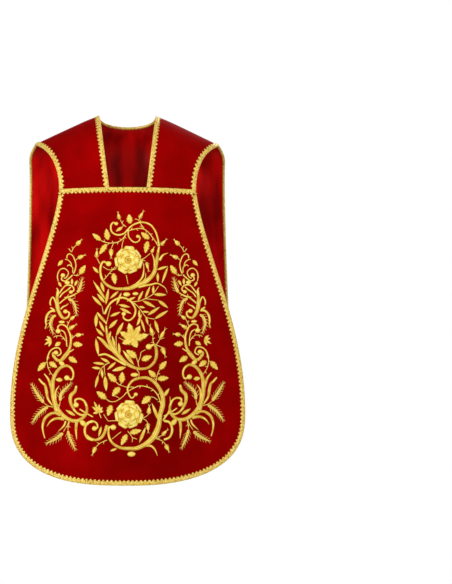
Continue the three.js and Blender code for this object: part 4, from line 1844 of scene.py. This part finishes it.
    def base(self) -> None:
        """Stitch the joining scrolls at the bottom."""
        self.line([(-141, 749), (-145, 764), (-156, 776), (-157, 793), (-149, 811), (-141, 821),
                   (-128, 828), (-119, 827)], 6, 11, 9, 6, 6)
        self.line([(-197, 807), (-185, 822), (-174, 833), (-160, 841), (-147, 844), (-133, 842),
                   (-119, 831), (-113, 818), (-113, 805), (-120, 790), (-132, 784), (-144, 788),
                   (-142, 801)], 12, 12, 10, 8, 6, 6, height=2.0, ball=7.5)
        self.line([(-185, 830), (-197, 824), (-211, 826), (-226, 838), (-233, 857), (-232, 875),
                   (-227, 893)], 7, 8, 3)
        self.line([(-174, 840), (-188, 838), (-201, 840), (-213, 848), (-222, 861)], 9, 7, 1)
        self.line([(-170, 845), (-175, 858), (-191, 874)], 5, 5, 1)
        self.twig((-161, 845), (-166, 857), (-176, 873))
        self.twig((-160, 846), (-163, 860), (-164, 871))
        self.line([(-140, 844), (-142, 867), (-140, 895)], 9, 7, 1)
        self.blade(5, ((-144, 830), (-170, 815)))
        self.ball(self.spot([(-123, 850)])[0], 10, 7.5, 0.8)
        self.line([(-132, 812), (-116, 822), (-96, 833)], 4, 4)
        self.line([(-96, 845), (-110, 849), (-117, 861), (-118, 875), (-111, 890), (-96, 896)], 7, 7, 6)


class Wreath(Needlework):
    """The scrolls and vines round the lamb; drawn for one side and its mirror image."""

    axis = 2.0

    def both(self, stitch: Callable, *runs: object, **style: object) -> None:
        """Stitch something and its mirror image about the axis."""
        for hand in (1, -1):
            stitch(*(self._turned(run, hand) for run in runs), **style)

    def _turned(self, run: object, hand: int) -> object:
        """Return a point, or a list of points, on the left or mirrored to the right.

        Args:
            run: a point, points or a size.
            hand: 1 for the left, -1 for the right.

        Returns:
            The same on that side.
        """
        if hand == 1 or isinstance(run, (int, float)):
            return run
        if isinstance(run, tuple):
            return (2 * self.axis - run[0], run[1])
        return [(2 * self.axis - x, drop) for x, drop in run]

    def draw(self) -> "Wreath":
        """Stitch the whole wreath.

        Returns:
            The work itself.
        """
        self.head()
        self.upper_sides()
        self.vines()
        self.lower_sides()
        return self

    def head(self) -> None:
        """Stitch the open scroll and the vine leaf at the top."""
        self.stroke([(-66, 70), (-58, 65), (-50, 75), (-58, 100), (-59, 123), (-48, 145), (-26, 156),
                     (-3, 158), (23, 153), (50, 138), (65, 119), (74, 96), (67, 77), (60, 65), (69, 62)],
                    4, 5, 7, 10, 10, 7, 5, 4, height=1.8)
        self.stem([(-48, 106), (-45, 84), (-34, 73), (-12, 66), (9, 73), (18, 90)], 3, 7)
        self.vine_leaf((6, 111), [(-8, 98), (5, 92), (24, 98), (22, 118), (8, 128), (-9, 118)], 9)
        self.stroke([(-52, 76), (-36, 72), (-21, 82), (-24, 93)], 4, 5, ball=7)
        self.stroke([(57, 77), (36, 76), (27, 90), (37, 91)], 4, 5, ball=7)
        self.stroke([(-18, 134), (-11, 149), (12, 153), (42, 145)], 3, 5, 4)
        self.stem([(-22, 137), (-25, 124)])
        self.bud((-25, 124), (-23, 98), 4.8)
        self.leaf((57, 121), (25, 120), 10, teeth=4)
        self.stem([(57, 121), (66, 126)])
        self.both(self.ball, (-51, 143), 8)
        self.both(self.stroke, [(-45, 149), (-56, 126), (-74, 100)], 4, 9, 2)

    def upper_sides(self) -> None:
        """Stitch the double scrolls beside the top."""
        self.both(self.stroke, [(-70, 102), (-80, 100), (-87, 96), (-94, 90), (-89, 84), (-83, 90),
                                (-88, 93)], 3, 3, ball=3)
        self.both(self.stroke, [(-80, 110), (-90, 114), (-100, 110), (-98, 103), (-91, 104), (-93, 108)],
                  3, 3, ball=3)
        self.both(self.stroke, [(-101, 134), (-99, 115), (-84, 108), (-67, 110)], 4, 4)
        self.both(self.leaf, (-93, 137), (-72, 113), 8, teeth=4)
        self.both(self.stroke, [(-80, 202), (-67, 192), (-55, 175), (-54, 157), (-63, 139), (-78, 135),
                                (-89, 143), (-84, 152)], 8, 7, 5, 4, ball=7)
        self.both(self.stroke, [(-88, 196), (-76, 184), (-70, 168), (-72, 150)], 6, 5, 2)
        self.both(self.wheat, [(-54, 158), (-44, 164), (-34, 174)], 3.6)
        for tip, half in (((-74, 158), 4), ((-92, 150), 4), ((-64, 148), 4)):
            self.both(self.leaf, (-84, 178), tip, half)
        self.both(self.stroke, [(-152, 157), (-131, 153), (-101, 160), (-86, 175), (-88, 198), (-101, 209),
                                (-114, 202), (-117, 189), (-110, 182)], 4, 7, 6, 4, height=1.6, ball=8)
        for tip in ((-104, 128), (-126, 134), (-62, 181), (-58, 196)):
            self.both(self.leaf, (-92, 168), tip, 4.6)
        self.both(self.wheat, [(-139, 152), (-152, 142), (-165, 130)], 5)
        self.both(self.stroke, [(-212, 236), (-209, 221), (-195, 208), (-173, 202), (-158, 187),
                                (-154, 172), (-161, 160), (-171, 163), (-169, 170)], 3, 5, 4, 3, ball=5)
        self.both(self.stroke, [(-109, 213), (-94, 211), (-80, 225)], 4, 3)
        self.both(self.ball, (-121, 206), 7.5)
        self.both(self.ball, (-130, 216), 7)
        self.both(self.wheat, [(-116, 227), (-104, 231), (-88, 232)], 4)

    def vines(self) -> None:
        """Stitch the side branches with their willow and vine leaves."""
        self.both(self.stroke, [(-100, 176), (-114, 192), (-129, 199), (-150, 210), (-184, 239),
                                (-201, 256), (-206, 277), (-212, 304), (-209, 330), (-195, 351),
                                (-177, 357), (-150, 357), (-136, 344), (-141, 330)],
                  5, 8, 8, 6, 7, 5, height=1.7, ball=7)
        outside = (((-201, 251), (-229, 208)), ((-204, 262), (-231, 238)), ((-206, 280), (-240, 260)),
                   ((-210, 296), (-243, 282)), ((-211, 316), (-242, 300)), ((-211, 330), (-250, 322)),
                   ((-202, 344), (-236, 360)), ((-196, 350), (-247, 391)), ((-194, 352), (-216, 378)),
                   ((-190, 354), (-198, 386)), ((-170, 357), (-180, 380)))
        inside = (((-203, 258), (-190, 206)), ((-196, 250), (-172, 210)), ((-184, 240), (-146, 208)),
                  ((-180, 238), (-138, 224)), ((-166, 221), (-152, 190)), ((-208, 300), (-194, 272)),
                  ((-209, 325), (-192, 304)), ((-203, 342), (-186, 326)), ((-190, 354), (-168, 336)))
        for base, tip in outside + inside:
            self.both(self.leaf, base, tip, 5.6)
        self.both(self.stroke, [(-150, 232), (-138, 234), (-126, 243), (-125, 256), (-134, 261)],
                  4, 5, ball=7)
        for spot, across, tall in (((-158, 276), 20, 15), ((-167, 300), 15, 17)):
            self.both(self.ball, spot, across, tall)
        for tip in ((-155, 244), (-138, 266), (-192, 268), (-196, 288), (-176, 322), (-148, 304)):
            self.both(self.leaf, (-166, 286), tip, 10, teeth=3, lift=0.4)
        self.both(self.leaf, (-146, 326), (-139, 300), 5.4)

    def lower_sides(self) -> None:
        """Stitch the scrolls and ears that close the wreath below."""
        self.both(self.wheat, [(-126, 352), (-110, 346), (-94, 339)], 4.4)
        self.both(self.ball, (-129, 361), 8, 9.5)
        self.both(self.stroke, [(-130, 372), (-101, 364), (-71, 374), (-54, 394), (-56, 417), (-71, 434),
                                (-90, 436), (-102, 422), (-95, 413)], 5, 7, 6, 4, height=1.6, ball=7.5)
        self.both(self.stroke, [(-128, 376), (-125, 392), (-112, 402), (-98, 394), (-98, 380), (-110, 374),
                                (-117, 384), (-109, 388)], 6, 4, 3, ball=5)
        for base, tip in (((-100, 368), (-86, 344)), ((-94, 370), (-56, 382)), ((-90, 372), (-52, 370)),
                          ((-86, 378), (-78, 402)), ((-96, 372), (-70, 356)), ((-142, 386), (-178, 381)),
                          ((-136, 390), (-162, 398))):
            self.both(self.leaf, base, tip, 4.8)
        self.both(self.stroke, [(-126, 376), (-138, 388), (-158, 384)], 5, 3)
        self.both(self.stroke, [(-112, 402), (-128, 404), (-142, 408), (-150, 398), (-146, 388)], 4, 4, 3)
        self.both(self.wheat, [(-126, 410), (-141, 422), (-153, 434)], 5)
        self.both(self.wheat, [(-50, 408), (-36, 402), (-22, 392)], 4.4)
        self.both(self.ball, (-56, 430), 7)
        self.both(self.stroke, [(-94, 436), (-100, 448), (-96, 460)], 5, 6, 3)
        self.leaf((-5, 448), (-5, 418), 9, teeth=4)
        self.bud((-27, 440), (-33, 410), 4.6)


@dataclass(frozen=True)
class Glory:
    """The lamb lying on the sealed book, with rays behind; seen from behind, from the neck."""

    centre: Pair = (3.0, 285.0)
    rays: int = 52
    reach_side: float = 122.0
    reach_down: float = 110.0

    def shine(self) -> Needlework:
        """Return the rays, long and short by turns.

        Returns:
            The work.
        """
        work = Needlework()
        middle = np.array(self.centre)
        for k in range(self.rays):
            angle = 2 * math.pi * (k + 0.5) / self.rays
            way = np.array((math.cos(angle) * self.reach_side, math.sin(angle) * self.reach_down))
            far = (1.0, 0.93, 0.84, 0.93)[k % 4]
            start, end = middle + way * 0.34, middle + way * far
            work.stroke([tuple(start), tuple(end)], 2.0, 2.9, 1.4, height=1.0)
        return work

    def lamb(self) -> Needlework:
        """Return the lamb, its fleece worked in small curls.

        Returns:
            The work.
        """
        work = Needlework()
        for x, drop, across, tall in ((8, 273, 38, 13), (34, 272, 13, 15), (-22, 266, 13, 17),
                                      (-25, 250, 8, 9)):
            work.ball((x, drop), across, tall, height=2.6)
        rng = np.random.default_rng(7)
        for x, drop, across, tall, count in ((6, 273, 36, 12, 52), (34, 271, 11, 13, 16),
                                             (-22, 266, 11, 15, 22)):
            for k in range(count):
                angle, reach = 2.4 * k, math.sqrt((k + 0.5) / count)
                spot = (x + across * reach * math.cos(angle), drop + tall * reach * math.sin(angle))
                turn = float(rng.uniform(0, math.pi))
                work.ball(spot, 3.7, 2.7, turn, height=3.6 + float(rng.uniform(0, 1.2)))
        work.ball((-27, 244), 10, 7.5, 0.35, height=4.6)
        work.ball((-37, 248), 5.5, 4.4, 0.35, height=4.0)
        work.leaf((-22, 240), (-9, 246), 3.4, veined=False, height=2.4, lift=3.0)
        for x, drop, far in ((-22, 285, -46), (-8, 288, -30), (44, 284, 20)):
            work.stroke([(x, drop), ((x + far) / 2, drop + 3), (far, drop + 1)], 7, 5, 4, height=3.2)
        return work

    def book(self) -> Needlework:
        """Return the book under the lamb, with its ribbons and seals, and the halo.

        Returns:
            The work.
        """
        work = Needlework()
        for drop, start, end in ((288, -58, 54), (294, -44, 54), (300, -40, 48)):
            work.stroke([(start, drop), (5, drop + 1.5), (end, drop)], 6.4, 6.4, 6.4, height=2.2)
        work.ball((-50, 288), 13, 6, height=3.2)
        for k in range(10):
            x = -44 + 10.4 * k
            drop = 306 + 10 * (1 - abs(k - 4.5) / 4.5) + 2 * (k % 2)
            work.stroke([(x, 300), (x, drop)], 2.4, 3.0, height=1.4)
            work.ball((x, drop + 2), 3.8, 3.2, height=2.2)
        ring = [(-27 + 15 * math.cos(a), 241 + 13 * math.sin(a)) for a in np.linspace(2.6, 6.8, 14)]
        work.stroke(ring, 2.8, 2.8, height=1.8)
        work.ball((-31, 245), 2.0, 2.0, height=7.5, tones=(-0.9, -0.9))
        return work


# --- The garment ---


@dataclass(frozen=True)
class Trims:
    """Runs of braid along panel edges, given as columns and rows of a panel."""

    galloon: Galloon = field(default_factory=Galloon)
    step: float = 4 * MM

    def run(self, panel: Panel, corners: Sequence[Pair]) -> EdgePath:
        """Return the path through (column, row) corners of a panel, evenly spaced.

        Args:
            panel: the panel.
            corners: where the path turns.

        Returns:
            The path.
        """
        dense = np.vstack([np.linspace(a, b, 400, endpoint=False) for a, b in zip(corners, corners[1:])]
                          + [np.array(corners[-1:])])
        points = panel.surface(dense[:, 0], dense[:, 1])
        lengths = np.concatenate([[0], np.cumsum(np.linalg.norm(np.diff(points, axis=0), axis=1))])
        count = max(6, int(lengths[-1] / self.step))
        even = np.linspace(0, lengths[-1], count)
        columns, rows = (np.interp(even, lengths, dense[:, k]) for k in (0, 1))
        return EdgePath.along(panel, columns, rows)


class Garment:
    """The chasuble: shoulders, front panel and back panel."""

    hands = {"left": 1, "right": -1}
    top_braid_share = 0.018

    def __init__(self) -> None:
        """Cut the panels."""
        self.trims = Trims()
        self.front = FrontCut().panel()
        self.back = BackCut().panel()

    def build(self) -> None:
        """Make every piece."""
        for hand, sign in self.hands.items():
            self._shoulder(hand, sign)
        self._front()
        self._back()

    def _cloths(self, label: str, panel: Panel, ride: Ride, trimmings: list, suffix: str = "",
                **grid: int) -> None:
        """Make the three layers of a panel.

        Args:
            label: start of the layers' names.
            panel: the panel.
            ride: how it moves.
            trimmings: pieces sewn on the velvet.
            suffix: end of the layers' names.
            grid: columns and rows of the sheets.
        """
        plan = (("lining", LAYERS.lining, Finish.LINING),
                ("interlining", LAYERS.interlining, Finish.INTERLINING),
                ("velvet", LAYERS.velvet, Finish.VELVET))
        for layer, heights, finish in plan:
            cloth = Cloth(f"{label}_{layer}{suffix}", panel, heights, finish, ride, **grid)
            cloth.build(trimmings if layer == "velvet" else ())

    def _braid(self, name: str, panel: Panel, corners: Sequence[Pair], ride: Ride, wraps: bool = True,
               lift: float = 0.0) -> Piece:
        """Make one run of braid."""
        return self.trims.galloon.build(name, self.trims.run(panel, corners), ride, wraps, lift)

    def _shoulder(self, hand: str, sign: int) -> None:
        """Make one shoulder with its neck and armhole braid.

        Args:
            hand: left or right.
            sign: 1 for the left, -1 for the right.
        """
        panel = Strap(Side.FRONT, None, None, None, hand=sign)
        braids = [self._braid(f"neck_braid_{hand}", panel, [(0, 0), (0, 1)], ON_SHOULDERS),
                  self._braid(f"armhole_braid_{hand}", panel, [(1, 0), (1, 1)], ON_SHOULDERS)]
        self._cloths("shoulder", panel, ON_SHOULDERS, braids, f"_{hand}", columns=40, rows=48)

    def _work(self, name: str, work: Needlework, placement: Placement, finish: Finish, ride: Ride,
              height: float = 0.0) -> Piece:
        """Lay one design and finish it."""
        piece = work.lay(f"{name.removesuffix('_embroidery')}_stitches", placement, height)
        return finish_piece(piece, finish, ride, name)

    def _front(self) -> None:
        """Make the front panel."""
        share = self.top_braid_share
        edge = [(0, share), (0, 1), (1, 1), (1, share)]
        sewn = [self._braid("front_edge_braid", self.front, edge, ON_FRONT),
                self._braid("front_top_braid", self.front, [(0, 0), (1, 0)], ON_FRONT, wraps=False),
                self._work("front_column_embroidery", Column().draw(), Placement(Side.FRONT, 0.264),
                           Finish.GOLD, ON_FRONT)]
        for hand, sign in self.hands.items():
            place = Placement(Side.FRONT, Spray.top * MM, mirrored=sign > 0)
            sewn.append(self._work(f"front_spray_embroidery_{hand}", Spray().draw(), place, Finish.GOLD,
                                   ON_FRONT))
        self._cloths("front", self.front, ON_FRONT, sewn)

    def _back(self) -> None:
        """Make the back panel."""
        start = BackCut().ridge_share
        sewn = [self._braid("back_edge_braid", self.back, [(0, 0), (0, 1), (1, 1), (1, 0)], ON_BACK),
                self._braid("back_neck_braid", self.back, [(start, 0), (1 - start, 0)], ON_BACK),
                self._work("back_column_embroidery", Column().draw(),
                           Placement(Side.BACK, 0.410, across=1.04, down=0.922), Finish.GOLD, ON_BACK)]
        for hand, sign in self.hands.items():
            place = Placement(Side.BACK, 0.478, down=0.93, mirrored=sign < 0)
            sewn.append(self._work(f"back_spray_embroidery_{hand}", Spray().draw(), place, Finish.GOLD,
                                   ON_BACK))
        seen = Placement(Side.BACK, 0.0)
        glory = Glory()
        sewn += [self._work("back_wreath_embroidery", Wreath().draw(), seen, Finish.GOLD, ON_BACK),
                 self._work("back_rays_embroidery", glory.shine(), seen, Finish.SILVER, ON_BACK),
                 self._work("back_lamb_embroidery", glory.lamb(), seen, Finish.CREAM, ON_BACK, 0.8 * MM),
                 self._work("back_book_embroidery", glory.book(), seen, Finish.GOLD, ON_BACK, 0.8 * MM)]
        self._cloths("back", self.back, ON_BACK, sewn)


# --- The studio ---


@dataclass(frozen=True)
class Lamp:
    """An area lamp aimed at the middle of the garment."""

    name: str
    at: tuple
    size: float
    watts: float

    def build(self, target: Vector) -> None:
        """Add the lamp to the scene.

        Args:
            target: what it is aimed at.
        """
        data = bpy.data.lights.new(self.name, "AREA")
        data.size = self.size
        data.energy = self.watts
        lamp = bpy.data.objects.new(self.name, data)
        lamp.location = self.at
        lamp.rotation_euler = (target - lamp.location).to_track_quat("-Z", "Y").to_euler()
        bpy.context.scene.collection.objects.link(lamp)


@dataclass(frozen=True)
class Studio:
    """White surroundings, soft lamps and the camera."""

    eye: tuple = (0.0, -3.6, -0.38)
    aim: tuple = (0.272, -0.13, -0.495)
    lens: float = 77.0
    ambient: float = 0.42
    lamps: tuple = (
        Lamp("key", (-2.0, -3.0, 0.5), 1.6, 74.0),
        Lamp("fill", (2.0, -2.8, 0.4), 2.4, 30.0),
        Lamp("rim", (1.2, 2.6, 1.4), 2.0, 60.0),
    )

    def build(self) -> None:
        """Light the garment and look at it."""
        bpy.context.scene.view_settings.view_transform = "Standard"
        world = bpy.data.worlds.new("white")
        world.use_nodes = True
        tree = world.node_tree
        background = tree.nodes["Background"]
        background.inputs["Color"].default_value = (1.0, 1.0, 1.0, 1.0)
        seen = tree.nodes.new("ShaderNodeLightPath")
        strength = tree.nodes.new("ShaderNodeMapRange")
        strength.inputs["To Min"].default_value = self.ambient
        tree.links.new(seen.outputs["Is Camera Ray"], strength.inputs["Value"])
        tree.links.new(strength.outputs["Result"], background.inputs["Strength"])
        bpy.context.scene.world = world
        middle = Vector((0.0, 0.0, -0.5))
        for lamp in self.lamps:
            lamp.build(middle)
        data = bpy.data.cameras.new("camera")
        data.lens = self.lens
        camera = bpy.data.objects.new("camera", data)
        camera.location = self.eye
        camera.rotation_euler = (Vector(self.aim) - camera.location).to_track_quat("-Z", "Y").to_euler()
        bpy.context.scene.collection.objects.link(camera)
        bpy.context.scene.camera = camera


def main() -> None:
    """Build the garment and its surroundings."""
    logging.basicConfig(level=logging.INFO, format="%(message)s")
    Garment().build()
    Studio().build()


if __name__ == "__main__":
    main()
